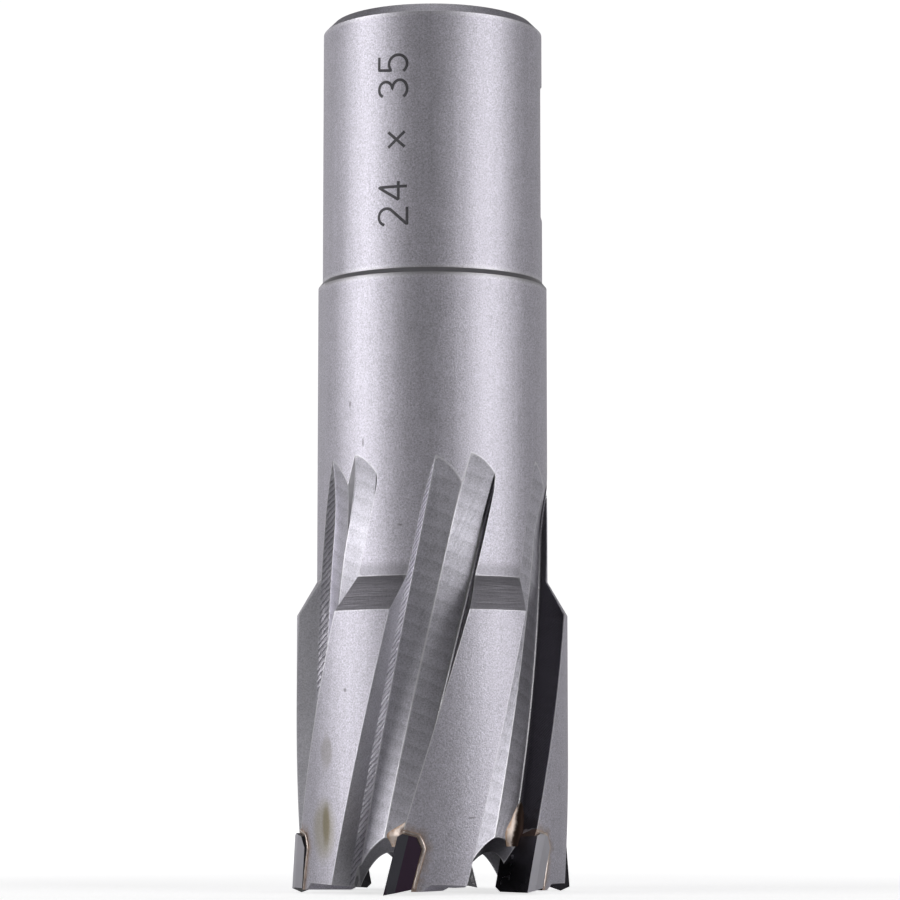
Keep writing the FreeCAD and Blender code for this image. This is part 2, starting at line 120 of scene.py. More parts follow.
def outline(corners: list[Points | Pair], steps: list[float], zones: list[Zone]) -> tuple[Points, list[Zone]]:
    """Divide the edges of an outline: P(t) = A + t (B - A), t from 0 to 1 in equal steps.

    Args:
        corners: the corners in order.
        steps: longest step along each edge; with one step per corner the outline is closed.
        zones: finish of each edge.

    Returns:
        The points, without the last edge's end, and the finish of the step that follows each.
    """
    points: list[Points] = []
    kinds: list[Zone] = []
    for i, step in enumerate(steps):
        a, b = np.array(corners[i]), np.array(corners[(i + 1) % len(corners)])
        count = max(1, math.ceil(float(np.linalg.norm(b - a)) / step))
        points.append(a + np.arange(count)[:, None] / count * (b - a))
        kinds += [zones[i]] * count
    return np.concatenate(points), kinds


def arc_points(start: Points, middle: Points, end: Points, count: int) -> Points:
    """Divide the arc through three plane points: P(s) = C + r (cos s, sin s).

    Args:
        start: first point.
        middle: a point between.
        end: last point.
        count: number of steps.

    Returns:
        The points, without the last.
    """
    lines = np.array([middle - start, end - start])
    centre = start + np.linalg.solve(lines, 0.5 * np.sum(lines * lines, axis=1))
    radius = float(np.linalg.norm(start - centre))
    first, between, last = (math.atan2(*(p - centre)[::-1]) for p in (start, middle, end))
    span = (last - first) % (2 * math.pi)
    if (between - first) % (2 * math.pi) > span:
        span -= 2 * math.pi
    s = first + span * np.arange(count) / count
    return centre + radius * np.stack([np.cos(s), np.sin(s)], axis=1)


def grid_faces(rows: int, columns: int, closed: bool) -> list[tuple[int, ...]]:
    """Return the quads of a grid whose columns close on themselves.

    Args:
        rows: number of rows.
        columns: number of columns.
        closed: whether the last row joins the first.

    Returns:
        Faces of the indices row x columns + column.
    """
    r = np.arange(rows if closed else rows - 1)[:, None]
    c = np.arange(columns)[None, :]
    next_r, next_c = (r + 1) % rows, (c + 1) % columns
    corners = (r * columns + c, r * columns + next_c, next_r * columns + next_c, next_r * columns + c)
    return [tuple(quad) for quad in np.stack(np.broadcast_arrays(*corners), axis=-1).reshape(-1, 4).tolist()]


def tube_faces(rows: int, columns: int) -> list[tuple[int, ...]]:
    """Return the faces of a tube of rings with flat ends."""
    ends = [tuple(range(columns - 1, -1, -1)), tuple(range((rows - 1) * columns, rows * columns))]
    return grid_faces(rows, columns, False) + ends


def signed_volume(mesh: bpy.types.Mesh) -> float:
    """Add up a . (b x c) / 6 over a mesh's triangles.

    Args:
        mesh: closed mesh.

    Returns:
        The volume inside it, negative if the mesh is inside out.
    """
    mesh.calc_loop_triangles()
    points = vertex_places(mesh)
    corners = np.zeros(len(mesh.loop_triangles) * 3, int)
    mesh.loop_triangles.foreach_get("vertices", corners)
    a, b, c = points[corners.reshape(-1, 3)].transpose(1, 0, 2)
    return float(np.sum(a * np.cross(b, c)) / 6.0)


def vertex_places(mesh: bpy.types.Mesh) -> Points:
    """Read the places of a mesh's vertices.

    Args:
        mesh: mesh.

    Returns:
        The places in metres, one row each.
    """
    places = np.zeros(len(mesh.vertices) * 3)
    mesh.vertices.foreach_get("co", places)
    return places.reshape(-1, 3)


def added(name: str, data: bpy.types.ID) -> bpy.types.Object:
    """Make an object of some data and link it to the scene.

    Args:
        name: name of the object.
        data: its data.

    Returns:
        The object.
    """
    thing = bpy.data.objects.new(name, data)
    bpy.context.scene.collection.objects.link(thing)
    return thing


def linked(name: str, points: Points, faces: list[tuple[int, ...]], kinds: list[int] | None = None) -> bpy.types.Object:
    """Make a mesh object and link it to the scene.

    Args:
        name: name of the object and its mesh.
        points: vertices in metres.
        faces: vertex indices of each face.
        kinds: material index of each face, or None for 0.

    Returns:
        The object; the normals of a closed mesh look outwards.
    """
    mesh = bpy.data.meshes.new(name)
    mesh.from_pydata(points.tolist(), [], faces)
    if kinds:
        mesh.polygons.foreach_set("material_index", kinds)
    if signed_volume(mesh) < 0:
        mesh.flip_normals()
    mesh.update()
    return added(name, mesh)


def solid_object(name: str, rings: Points, zones: list[Zone], caps: Zone | None) -> bpy.types.Object:
    """Make a closed solid of a stack of rings.

    Args:
        name: name of the object.
        rings: array rows x columns x 3, in millimetres.
        zones: finish of each column of quads.
        caps: finish of the flat ends, or None where the last ring joins the first.

    Returns:
        The object, its normals outwards.
    """
    rows, columns = rings.shape[:2]
    faces = grid_faces(rows, columns, True) if caps is None else tube_faces(rows, columns)
    sides = rows if caps is None else rows - 1
    kinds = [zone.value for zone in zones] * sides + ([] if caps is None else [caps.value] * 2)
    return linked(name, rings.reshape(-1, 3) * MM, faces, kinds)


# The steel body


@dataclass
class FlutePass:
    """One pass of the disc cutter: the screw it follows and where the disc leaves the metal. Millimetres, degrees."""

    lead: float
    azimuth: float
    floor_turn: float
    floor_radius: float = 9.1
    start: float = -0.7
    end: float = 29.7
    disc_radius: float = 28.0
    blend: float = 0.6
    first_turn: float = 0.8
    last_turn: float = 24.5
    turns: int = 66

    def rings(self, profile: Points) -> Points:
        """Carry a transverse profile up the screw and on round the disc's edge, where it leaves the metal.

        Below the end P(p, z) = Rz(azimuth + 360 z / lead) p + (0, 0, z). Above it the profile, foreshortened across by
        the cosine of the screw's lean, turns about the disc's axis: P(p, t) = F (H + Rx(-t) (p - H)).

        Args:
            profile: closed outline in the plane across the axis, in millimetres.

        Returns:
            The rings, rows x points x 3.
        """
        top = self.end - self.blend
        z = np.linspace(self.start, top, math.ceil((top - self.start) / 0.3))[:, None]
        lower = turned_plane(profile, np.radians(self.azimuth + 360.0 * z / self.lead), z)
        lean = math.atan(2.0 * math.pi * self.floor_radius / self.lead)
        out = heading(self.floor_turn)
        across = profile @ np.array([-out[1], out[0]]) * math.cos(lean)
        hub = np.array([0.0, self.floor_radius + self.disc_radius, 0.0])
        flat = np.stack([-across, profile @ out, np.zeros(len(profile))], axis=1) - hub
        turns = np.linspace(self.first_turn, self.last_turn, self.turns)
        upper = np.stack([flat @ rotation(X, -t).T for t in turns]) + hub
        facing = self.azimuth + 360.0 * self.end / self.lead + self.floor_turn
        base = rotation(Z, facing - 90.0) @ rotation(Y, -math.degrees(lean))
        return np.concatenate([lower, upper @ base.T + np.array([0.0, 0.0, self.end])])


@dataclass
class FaceCorner:
    """Corner between the flute's floor and its rake face, in the plane across the axis. Millimetres, degrees."""

    land: float = 11.6
    rake_turn: float = -7.0
    floor_turn: float = -5.7
    floor_radius: float = 9.1
    lead: float = 240.0
    azimuth: float = -11.3

    def __post_init__(self) -> None:
        """Work out the edge on the land, the directions of wall and floor, and the corner where they meet."""
        self.edge = np.array([self.land, 0.0])
        self.rake = heading(self.rake_turn)
        self.normal = heading(self.floor_turn)
        self.along = np.array([-self.normal[1], self.normal[0]])
        reach = (self.edge @ self.normal - self.floor_radius) / (self.rake @ self.normal)
        self.corner = self.edge - self.rake * reach

    def turn(self, tooth: int, z: Points) -> Points:
        """Return the screw's angle at a height, in radians: a = 60 tooth - 11.3 + 360 z / 240 in degrees."""
        return np.radians(PITCH * tooth + self.azimuth + 360.0 * z / self.lead)


@dataclass
class SteelBody:
    """The hollow body: turned blank, clamping flats, flutes, gullets, seats and land relief. Millimetres, degrees."""

    height: float = 75.0
    shank: float = 9.525
    shank_bottom: float = 52.2
    shank_chamfer: float = 0.85
    neck: float = 9.9
    neck_top: float = 51.75
    cone_top: float = 26.3
    cone_bottom: float = 23.4
    land: float = 11.6
    land_height: float = 1.0
    heel_height: float = 0.3
    core: float = 8.2
    core_top: float = 38.5
    core_tip: float = 40.1
    pilot: float = 4.0
    pilot_chamfer: float = 0.7
    flat_depth: float = 1.5
    flat_low: float = 57.85
    flat_high: float = 69.45
    flat_ramp: float = 0.825
    outside: float = 12.9
    tip_radius: float = 12.0
    tip_turn: float = -8.0
    tip_level: float = 2.6
    tip_lean: float = 14.2
    tip_rake: float = 7.0
    tip_thickness: float = 2.02
    tip_top: float = 2.56
    tip_bevel: Pair = (0.6, 0.8)
    seam: float = 0.35
    below: float = -1.2
    gullet_slope: float = 52.0
    gullet_roof: float = 3.18
    land_tilt: float = 3.5

    def blank(self) -> bpy.types.Object:
        """Turn the blank's outline about the axis: P(s, a) = (r(s) cos a, r(s) sin a, z(s)).

        Returns:
            The turned blank.
        """
        # 37.5 and 6.5 are heights where the division of a straight edge changes
        corners = [
            (self.core + 0.15, self.heel_height), (self.land, self.heel_height), (self.land, self.cone_bottom),
            (self.neck, self.cone_top), (self.neck, 37.5), (self.neck, self.neck_top), (self.shank, self.shank_bottom),
            (self.shank, self.height - self.shank_chamfer), (self.shank - self.shank_chamfer, self.height),
            (self.pilot + self.pilot_chamfer, self.height), (self.pilot, self.height - self.pilot_chamfer),
            (self.pilot, self.core_tip), (self.core, self.core_top), (self.core, 6.5),
            (self.core, self.heel_height + 0.15),
        ]
        steps = [4.0, 0.5, 0.5, 0.5, 4.8, 1.0, 4.0, 1.0, 4.0, 1.0, 12.0, 1.0, 8.0, 1.0, 1.0]
        zones = [Zone.BORE, Zone.GROUND, Zone.CONE, Zone.GROUND, Zone.GROUND, Zone.CONE]
        zones += [Zone.GROUND] * 3 + [Zone.BORE] * 6
        points, kinds = outline(corners, steps, zones)
        a = np.radians(np.arange(360) + 0.37)[:, None]
        return solid_object("blank", round_axis(points[:, 0], a, points[:, 1]), kinds, None)

    def flat_cutter(self, turn: float) -> bpy.types.Object:
        """Carry an outline with ramped ends across the shank: P(p, y) = Rz(turn) (p_x, y, p_z).

        Args:
            turn: angle of the clamping flat round the axis.

        Returns:
            The cutter of the flat.
        """
        depth, outer = self.shank - self.flat_depth, self.shank + 1.0
        corners = [
            (depth, self.flat_low), (depth, self.flat_high),
            (outer, self.flat_high + self.flat_ramp), (outer, self.flat_low - self.flat_ramp),
        ]
        points, kinds = outline(corners, [1.0, 0.6, FREE, 0.6], [Zone.GROUND] * 4)
        y = np.linspace(-9.6, 9.6, 12)[:, None]
        rings = np.stack(np.broadcast_arrays(points[:, 0], y, points[:, 1]), axis=-1) @ rotation(Z, turn).T
        return solid_object("flat_cutter", rings, kinds, Zone.GROUND)

    def back_pass(self) -> tuple[Points, list[Zone]]:
        """Shape the pass that leaves the trailing flank and the back half of the floor.

        Returns:
            Its rings and the finish of each step round them.
        """
        passing = FlutePass(lead=290.3, azimuth=-38.4, floor_turn=8.2)
        foot_turn, end_turn, corner_radius, corner_turn = 3.6, 23.5, 9.88, 1.8
        start, corner = np.array([self.land, 0.0]), corner_radius * heading(corner_turn)
        foot, end = (
            heading(turn) * passing.floor_radius / math.cos(math.radians(turn - passing.floor_turn))
            for turn in (foot_turn, end_turn)
        )
        corners = [start + (start - corner) * 0.75, corner, foot, end, self.outside * heading(end_turn)]
        profile, kinds = outline(corners, [0.3, 0.3, 0.35, 2.0, FREE], [Zone.FLANK, Zone.STEP] + [Zone.FLOOR] * 3)
        return passing.rings(profile), kinds

    def face_pass(self) -> tuple[Points, list[Zone]]:
        """Shape the pass that leaves the floor's front half, its fillet and the rake face.

        Returns:
            Its rings and the finish of each step round them.
        """
        at = FaceCorner(land=self.land)
        passing = FlutePass(lead=at.lead, azimuth=at.azimuth, floor_turn=at.floor_turn)
        fillet, bends, foot_turn, wall_height, wall_lean = 0.32, 9, -16.0, 3.8, 15.0
        reach = fillet / math.tan(math.acos(float(at.rake @ -at.along)) / 2)
        on_floor, on_wall = at.corner - at.along * reach, at.corner + at.rake * reach
        centre = on_floor + at.normal * fillet
        middle = centre + (at.corner - centre) / np.linalg.norm(at.corner - centre) * fillet
        outer = at.edge + at.rake * (self.outside - self.land)
        foot = heading(foot_turn) * passing.floor_radius / math.cos(math.radians(foot_turn - at.floor_turn))
        top = foot + heading(foot_turn - wall_lean) * wall_height / math.cos(math.radians(wall_lean))
        corners = [on_wall, outer, top, foot, on_floor]
        rest, kinds = outline(corners, [0.3, FREE, 0.5, 0.35], [Zone.RAKE] + [Zone.FLOOR] * 3)
        profile = np.concatenate([rest, arc_points(on_floor, middle, on_wall, bends)])
        return passing.rings(profile), kinds + [Zone.RAKE] * bends

    def tooth_frame(self) -> tuple[Points, Points]:
        """Place the first tooth's frame: x outwards along its face, y back, z up its lean.

        Returns:
            Its matrix and its origin.
        """
        turn = rotation(Z, self.tip_turn)
        origin = turn @ np.array([self.tip_radius, 0.0, self.tip_level])
        return turn @ rotation(X, -self.tip_lean) @ rotation(Z, -self.tip_rake), origin

    def lift(self, back: float, height: float) -> float:
        """Return the upward coordinate in the tooth's frame of a point at a height above the standing plane."""
        matrix, _ = self.tooth_frame()
        return (height - self.tip_level - back * matrix[2, 1]) / matrix[2, 2]

    def prism(self, side: Points, direction: Points, low: float, high: float, steps: int) -> Points:
        """Carry an outline of the tooth's frame along a direction: P(p, t) = O + M (p + t d).

        Args:
            side: points in the tooth's frame, or in its plane of y and z.
            direction: direction in the tooth's frame.
            low: start along it.
            high: end along it.
            steps: number of rings.

        Returns:
            The rings, steps x points x 3.
        """
        if side.shape[1] == 2:
            side = np.column_stack([np.zeros(len(side)), side])
        matrix, origin = self.tooth_frame()
        t = np.linspace(low, high, steps)[:, None, None]
        return (side[None] + t * direction[None, None]) @ matrix.T + origin

    def gullet(self) -> tuple[Points, list[Zone]]:
        """Shape the slot in front of a tip, its roof an arc.

        Returns:
            Its rings and the finish of each step round them.
        """
        tilt = rotation(Y, 90.0 - self.gullet_slope)
        side, front = np.array([-1.6, -4.1]), np.array([-3.0, 0.0])
        chord = front - side
        length = float(np.linalg.norm(chord))
        rise = self.gullet_roof - math.sqrt(self.gullet_roof**2 - length**2 / 4)
        middle = (side + front) / 2 + np.array([-chord[1], chord[0]]) / length * rise
        rest, _ = outline([front, (6.0, 0.0), (6.0, -4.1), side], [0.5, FREE, 0.5], [Zone.GULLET] * 3)
        points = np.concatenate([arc_points(side, middle, front, 28), rest])
        flat = np.column_stack([points, np.zeros(len(points))]) @ tilt.T
        return self.prism(flat, tilt @ np.array([0.0, 0.0, 1.0]), -9.0, 4.0, 40), [Zone.GULLET] * len(points)

    def seat(self) -> tuple[Points, list[Zone]]:
        """Shape the seat that takes a tip and its braze.

        Returns:
            Its rings and the finish of each step round them.
        """
        low, back, top = self.lift(0.0, self.below), self.tip_thickness + self.seam, self.tip_top + self.seam
        inwards, down = self.tip_bevel
        bevel = math.atan2(down, inwards)
        high = self.seam * math.tan((math.pi / 2 - bevel) / 2)
        wide = self.seam * math.tan(bevel / 2)
        side = [
            (0.0, low), (back, low), (back, self.tip_top - down + high),
            (self.tip_thickness - inwards + wide, top), (0.15, top), (0.0, self.tip_top - 0.3),
        ]
        points, kinds = outline(side, [9.0] * 6, [Zone.GULLET] * 6)
        return self.prism(points, np.array([1.0, 0.0, 0.0]), -6.0, 2.5, 12), kinds

    def relief(self) -> tuple[Points, list[Zone]]:
        """Shape the cut that leaves a heel behind each tip and lifts the rest of the land.

        Returns:
            Its rings and the finish of each step round them.
        """
        heel, far = self.tip_thickness + self.seam + 0.3, 7.6
        run = heel + 0.7
        side = [
            (heel, self.lift(heel, self.below)), (far, self.lift(far, self.below)),
            (far, self.lift(far, self.land_height + 0.05)), (run, self.lift(run, self.land_height)),
            (heel, self.lift(heel, self.heel_height)),
        ]
        points, kinds = outline(side, [FREE, FREE, 0.4, 0.3, 0.5], [Zone.GROUND] * 5)
        out = heading(self.land_tilt)
        return self.prism(points, np.array([out[0], 0.0, out[1]]), -5.5, 2.5, 16), kinds

    def build(self) -> bpy.types.Object:
        """Cut the blank with all its cutters and keep the distances to edges and seats on its vertices.

        Returns:
            The body.
        """
        body = self.blank()
        cutters = [self.flat_cutter(0.0), self.flat_cutter(90.0)]
        for rings, kinds in (self.back_pass(), self.face_pass(), self.gullet(), self.seat(), self.relief()):
            for i in range(TEETH):
                cutters.append(solid_object("cutter", rings @ rotation(Z, PITCH * i).T, kinds, Zone.GULLET))
        for cutter in cutters:
            modifier = body.modifiers.new("cut", "BOOLEAN")
            modifier.operation = "DIFFERENCE"
            modifier.solver = "MANIFOLD"
            modifier.object = cutter
        made = bpy.data.meshes.new_from_object(body.evaluated_get(bpy.context.evaluated_depsgraph_get()))
        for cutter in cutters:
            bpy.data.objects.remove(cutter)
        body.modifiers.clear()
        body.data = made
        body.name = made.name = "steel_body"
        made.shade_smooth()
        made.set_sharp_from_angle(angle=math.radians(12.0))
        self.keep_distances(made)
        return body

    def keep_distances(self, mesh: bpy.types.Mesh) -> None:
        """Keep each vertex's distance in millimetres to the nearest sharp edge, braze seam and front edge of a land.

        The lands' front edges, which get a painted highlight line, are the helices P(z) = (r cos a(z), r sin a(z), z)
        where the rake faces meet the lands.

        Args:
            mesh: mesh of the body.
        """
        points = vertex_places(mesh)
        sharp = mesh.attributes.get("sharp_edge")
        marks = np.zeros(len(mesh.edges), bool)
        if sharp is not None:
            sharp.data.foreach_get("value", marks)
        ends = np.zeros(len(mesh.edges) * 2, int)
        mesh.edges.foreach_get("vertices", ends)
        a, b = points[ends.reshape(-1, 2)[marks]].transpose(1, 0, 2)
        along = np.concatenate([a * (1 - t) + b * t for t in (0.0, 0.25, 0.5, 0.75, 1.0)])
        seams = np.concatenate([vertex_places(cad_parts[f"braze_seam_{i + 1}"].data) for i in range(TEETH)])
        z = np.arange(5.2, self.cone_bottom, 0.05)
        turn = FaceCorner(land=self.land).turn
        helices = np.concatenate([round_axis(self.land, turn(i, z), z) for i in range(TEETH)]) * MM
        for name, targets, most in (("edge", along, 1.0), ("seam", seams, 3.0), ("rake_edge", helices, 1.0)):
            tree = KDTree(len(targets))
            for i, target in enumerate(targets):
                tree.insert(target, i)
            tree.balance()
            distances = np.array([tree.find(p)[2] for p in points]) / MM
            mesh.attributes.new(name, "FLOAT", "POINT").data.foreach_set("value", np.minimum(distances, most))


# Materials: nodes and shader groups


class Graph:
    """Adds and joins the nodes of one node tree."""

    def __init__(self, tree: bpy.types.NodeTree) -> None:
        """Keep the tree and empty it."""
        self.tree = tree
        tree.nodes.clear()

    def add(self, kind: str, **values: object) -> bpy.types.Node:
        """Add a node.

        Args:
            kind: type of the node.
            values: its properties.

        Returns:
            The node.
        """
        node = self.tree.nodes.new(kind)
        for name, value in values.items():
            setattr(node, name, value)
        return node

    def put(self, target: Socket, value: object) -> None:
        """Link a socket to an input, or set the input to a value.

        Args:
            target: input.
            value: socket or value.
        """
        if isinstance(value, Socket):
            self.tree.links.new(value, target)
        else:
            target.default_value = value

    def fed(self, kind: str, *values: object, **properties: object) -> bpy.types.Node:
        """Add a node and link or set its first inputs.

        Args:
            kind: type of the node.
            values: sockets or values.
            properties: the node's properties.

        Returns:
            The node.
        """
        node = self.add(kind, **properties)
        for target, value in zip(node.inputs, values):
            self.put(target, value)
        return node

    def feed(self, node: bpy.types.Node, **values: object) -> bpy.types.Node:
        """Link or set a node's inputs by name.

        Args:
            node: node.
            values: sockets or values by the inputs' names, "_" for a space.

        Returns:
            The node.
        """
        for name, value in values.items():
            self.put(node.inputs[name.replace("_", " ")], value)
        return node

    def math(self, operation: str, a: object, b: object = 0.0, clamp: bool = False) -> Socket:
        """Return the result of a Math node."""
        return self.fed("ShaderNodeMath", a, b, operation=operation, use_clamp=clamp).outputs[0]

    def total(self, first: object, *others: object) -> Socket:
        """Add up several values.

        Args:
            first: a value.
            others: the rest.

        Returns:
            The sum.
        """
        for other in others:
            first = self.math("ADD", first, other)
        return first

    def times(self, a: object, b: object) -> Socket:
        """Return the product of two values."""
        return self.math("MULTIPLY", a, b)

    def less(self, a: object, b: object, clamp: bool = False) -> Socket:
        """Return the difference of two values."""
        return self.math("SUBTRACT", a, b, clamp)

    def vector(self, operation: str, a: object, b: object) -> bpy.types.Node:
        """Return a Vector Math node of two vectors."""
        return self.fed("ShaderNodeVectorMath", a, b, operation=operation)

    def length(self, vector: Socket) -> Socket:
        """Return the length of a vector."""
        return self.fed("ShaderNodeVectorMath", vector, operation="LENGTH").outputs["Value"]

    def split(self, vector: Socket) -> bpy.types.bpy_prop_collection:
        """Return the three parts of a vector."""
        return self.fed("ShaderNodeSeparateXYZ", vector).outputs

    def join(self, x: object, y: object, z: object = 0.0) -> Socket:
        """Return the vector of three values."""
        return self.fed("ShaderNodeCombineXYZ", x, y, z).outputs[0]

    def place(self) -> Socket:
        """Return the place on the object."""
        return self.add("ShaderNodeTexCoord").outputs["Object"]

    def kept(self, name: str) -> Socket:
        """Return a value kept on the vertices under a name."""
        return self.add("ShaderNodeAttribute", attribute_name=name).outputs["Fac"]

    def ramp(self, value: object, low: float, high: float, start: float = 0.0, end: float = 1.0) -> Socket:
        """Return a value carried smoothly from low .. high to start .. end."""
        return self.fed("ShaderNodeMapRange", value, low, high, start, end, interpolation_type="SMOOTHSTEP").outputs[0]

    def noise(self, vector: Socket, scale: object, detail: float = 3.0, rough: float = 0.55) -> Socket:
        """Return a noise between 0 and 1.

        Args:
            vector: place in the noise.
            scale: number of features per unit.
            detail: number of finer layers.
            rough: strength of the finer layers.

        Returns:
            The noise's value.
        """
        node = self.add("ShaderNodeTexNoise", noise_dimensions="3D")
        return self.feed(node, Vector=vector, Scale=scale, Detail=detail, Roughness=rough).outputs["Fac"]

    def mix(self, factor: object, a: object, b: object) -> Socket:
        """Mix two colours.

        Args:
            factor: share of the second.
            a: first.
            b: second.

        Returns:
            The mix.
        """
        node = self.add("ShaderNodeMix", data_type="RGBA")
        for place, value in ((0, factor), (6, a), (7, b)):
            self.put(node.inputs[place], value)
        return node.outputs[2]

    def scaled(self, colour: Rgb, level: Socket) -> Socket:
        """Return a colour times a value."""
        return self.feed(self.fed("ShaderNodeVectorMath", colour, operation="SCALE"), Scale=level).outputs[0]

    def group(self, group: bpy.types.NodeTree, **inputs: object) -> bpy.types.bpy_prop_collection:
        """Return the outputs of a group node with its inputs set by name."""
        return self.feed(self.add("ShaderNodeGroup", node_tree=group), **inputs).outputs


class GroupMaker:
    """A shader group under construction: its graph, its inputs by name and its outputs."""

    def __init__(self, name: str, inputs: dict[str, float], outputs: list[str]) -> None:
        """Make the group.

        Args:
            name: name of the group.
            inputs: names and default values of its number inputs.
            outputs: names of its outputs; "Vector" is a vector.
        """
        self.tree = bpy.data.node_groups.new(name, "ShaderNodeTree")
        self.g = Graph(self.tree)
        for label, value in inputs.items():
            socket = self.tree.interface.new_socket(name=label, in_out="INPUT", socket_type="NodeSocketFloat")
            socket.default_value = value
        for label in outputs:
            kind = "NodeSocketVector" if label == "Vector" else "NodeSocketFloat"
            self.tree.interface.new_socket(name=label, in_out="OUTPUT", socket_type=kind)
        self.given = self.g.add("NodeGroupInput").outputs
        self.leave = self.g.add("NodeGroupOutput")

    def give(self, **results: Socket) -> bpy.types.NodeTree:
        """Link results to the outputs of their names and return the finished group."""
        self.g.feed(self.leave, **results)
        return self.tree


class Effects:
    """Shader groups that more than one finish uses, built once."""

    def __init__(self) -> None:
        """Build the groups."""
        self.unrolled = self.unrolled_group()
        self.grain = self.grain_group()
        self.cutter_marks = self.cutter_marks_group()
        self.edge_worn_and_highlit = self.edge_worn_and_highlit_group()
        self.heat = self.heat_group()
        self.facing = self.facing_group()
        self.feed_steps = self.feed_steps_group()

    def unrolled_group(self) -> bpy.types.NodeTree:
        """Unroll the surface round the axis: (10.5 x angle, height, radius) in millimetres.

        Returns:
            The finished group.
        """
        made = GroupMaker("unrolled", {}, ["Vector", "Angle", "Height", "Radius"])
        g = made.g
        place = g.place()
        parts = g.split(place)
        angle = g.math("ARCTAN2", parts[1], parts[0])
        radius = g.length(g.vector("MULTIPLY", place, (1000.0, 1000.0, 0.0)).outputs[0])
        height = g.times(parts[2], 1000.0)
        vector = g.join(g.times(angle, 10.5), height, radius)
        return made.give(Vector=vector, Angle=g.times(angle, 180.0 / math.pi), Height=height, Radius=radius)

    def grain_group(self) -> bpy.types.NodeTree:
        """Make a satin grain: fine pits, soft mottle and faint streaks, each a value about zero.

        Returns:
            The finished group.
        """
        sizes = {"Fine Size": 0.13, "Mottle Size": 1.6}
        made = GroupMaker("satin_grain", sizes, ["Fine", "Mottle", "Streak"])
        g = made.g
        place = g.place()
        fine, mottle = (
            g.less(g.noise(place, g.math("DIVIDE", 1000.0, made.given[size]), detail, 0.62), 0.5)
            for size, detail in (("Fine Size", 4.0), ("Mottle Size", 3.0))
        )
        drawn_out = g.vector("MULTIPLY", g.group(self.unrolled)["Vector"], (1.3, 0.05, 1.3)).outputs[0]
        return made.give(Fine=fine, Mottle=mottle, Streak=g.less(g.noise(drawn_out, 1.0, 2.0), 0.5))

    def cutter_marks_group(self) -> bpy.types.NodeTree:
        """Make feed marks: fine and broad lines across a direction on the unrolled surface.

        Returns:
            The finished group.
        """
        made = GroupMaker("cutter_marks", {"Pitch": 0.25, "Turn": 35.0}, ["Lines", "Broad"])
        g = made.g
        angle = g.times(made.given["Turn"], math.pi / 180.0)
        rotate = g.add("ShaderNodeVectorRotate", rotation_type="Z_AXIS")
        parts = g.split(g.feed(rotate, Vector=g.group(self.unrolled)["Vector"], Angle=angle).outputs[0])
        results = []
        for across in (parts[1], g.times(parts[1], 0.22)):
            drawn_out = g.join(g.times(parts[0], 0.35), g.math("DIVIDE", across, made.given["Pitch"]))
            results.append(g.less(g.noise(drawn_out, 1.0, 2.5, 0.6), 0.5))
        return made.give(Lines=results[0], Broad=results[1])

    def feed_steps_group(self) -> bpy.types.NodeTree:
        """Make the steps that each turn of the disc cutter leaves: a soft saw from -0.5 to 0.5.

        With height z, radius r and unrolled width w in millimetres the phase is (z + lean r + slant w) / pitch, bent by
        a slow noise.

        Returns:
            The finished group.
        """
        made = GroupMaker("feed_steps", {"Pitch": 0.8, "Lean": 0.0, "Slant": 0.0}, ["Saw"])
        g, given = made.g, made.given
        flat = g.group(self.unrolled)["Vector"]
        parts = g.split(flat)
        way = g.total(parts[1], g.times(parts[2], given["Lean"]), g.times(parts[0], given["Slant"]))
        slow = g.vector("MULTIPLY", flat, (0.9, 0.9, 0.9)).outputs[0]
        bent = g.times(g.less(g.noise(slow, 1.0, 3.0), 0.5), 0.6)
        phase = g.math("FRACT", g.math("DIVIDE", g.math("ADD", way, bent), given["Pitch"]))
        rise = g.ramp(phase, 0.0, 0.16, -0.5, 0.0)
        return made.give(Saw=g.less(g.math("ADD", rise, 0.5), phase))

    def edge_worn_and_highlit_group(self) -> bpy.types.NodeTree:
        """Make worn edges that carry a painted highlight: 1 on a sharp edge, 0 beyond a width in millimetres, broken up
        along it.

        Returns:
            The finished group.
        """
        made = GroupMaker("edge_worn_and_highlit", {"Width": 0.15, "Breaks": 0.55}, ["Wear"])
        g, breaks = made.g, made.given["Breaks"]
        broken = g.noise(g.place(), 900.0, 4.0)
        width = g.times(made.given["Width"], g.math("ADD", g.less(1.0, breaks), g.times(broken, breaks)))
        near = g.less(1.0, g.math("DIVIDE", g.kept("edge"), width), clamp=True)
        return made.give(Wear=g.math("POWER", near, 0.7))

    def heat_group(self) -> bpy.types.NodeTree:
        """Make heat colour and flux by the brazed seats: a mask that fades with the distance to them.

        Returns:
            The finished group.
        """
        made = GroupMaker("heat_tint", {"Reach": 0.9}, ["Mask"])
        g = made.g
        uneven = g.times(g.noise(g.place(), 1600.0, 4.0), 1.6)
        near = g.less(1.0, g.math("DIVIDE", g.kept("seam"), g.times(made.given["Reach"], uneven)), clamp=True)
        return made.give(Mask=g.math("POWER", near, 1.3))

    def facing_group(self) -> bpy.types.NodeTree:
        """Say how a face looks: outwards from the axis, and sideways round it.

        Returns:
            The finished group.
        """
        made = GroupMaker("facing", {}, ["Outward", "Sideways"])
        g = made.g
        flat = g.vector("MULTIPLY", g.place(), (1.0, 1.0, 0.0)).outputs[0]
        outward = g.fed("ShaderNodeVectorMath", flat, operation="NORMALIZE").outputs[0]
        normal = g.add("ShaderNodeNewGeometry").outputs["Normal"]
        facing = g.vector("DOT_PRODUCT", outward, normal)
        sideways = g.vector("CROSS_PRODUCT", outward, normal)
        return made.give(Outward=facing.outputs["Value"], Sideways=g.split(sideways.outputs[0])[2])


# Finishes


def opened(owner: bpy.types.Material | bpy.types.World) -> Graph:
    """Switch on the nodes of a material or world and return its empty graph."""
    owner.use_nodes = True
    return Graph(owner.node_tree)


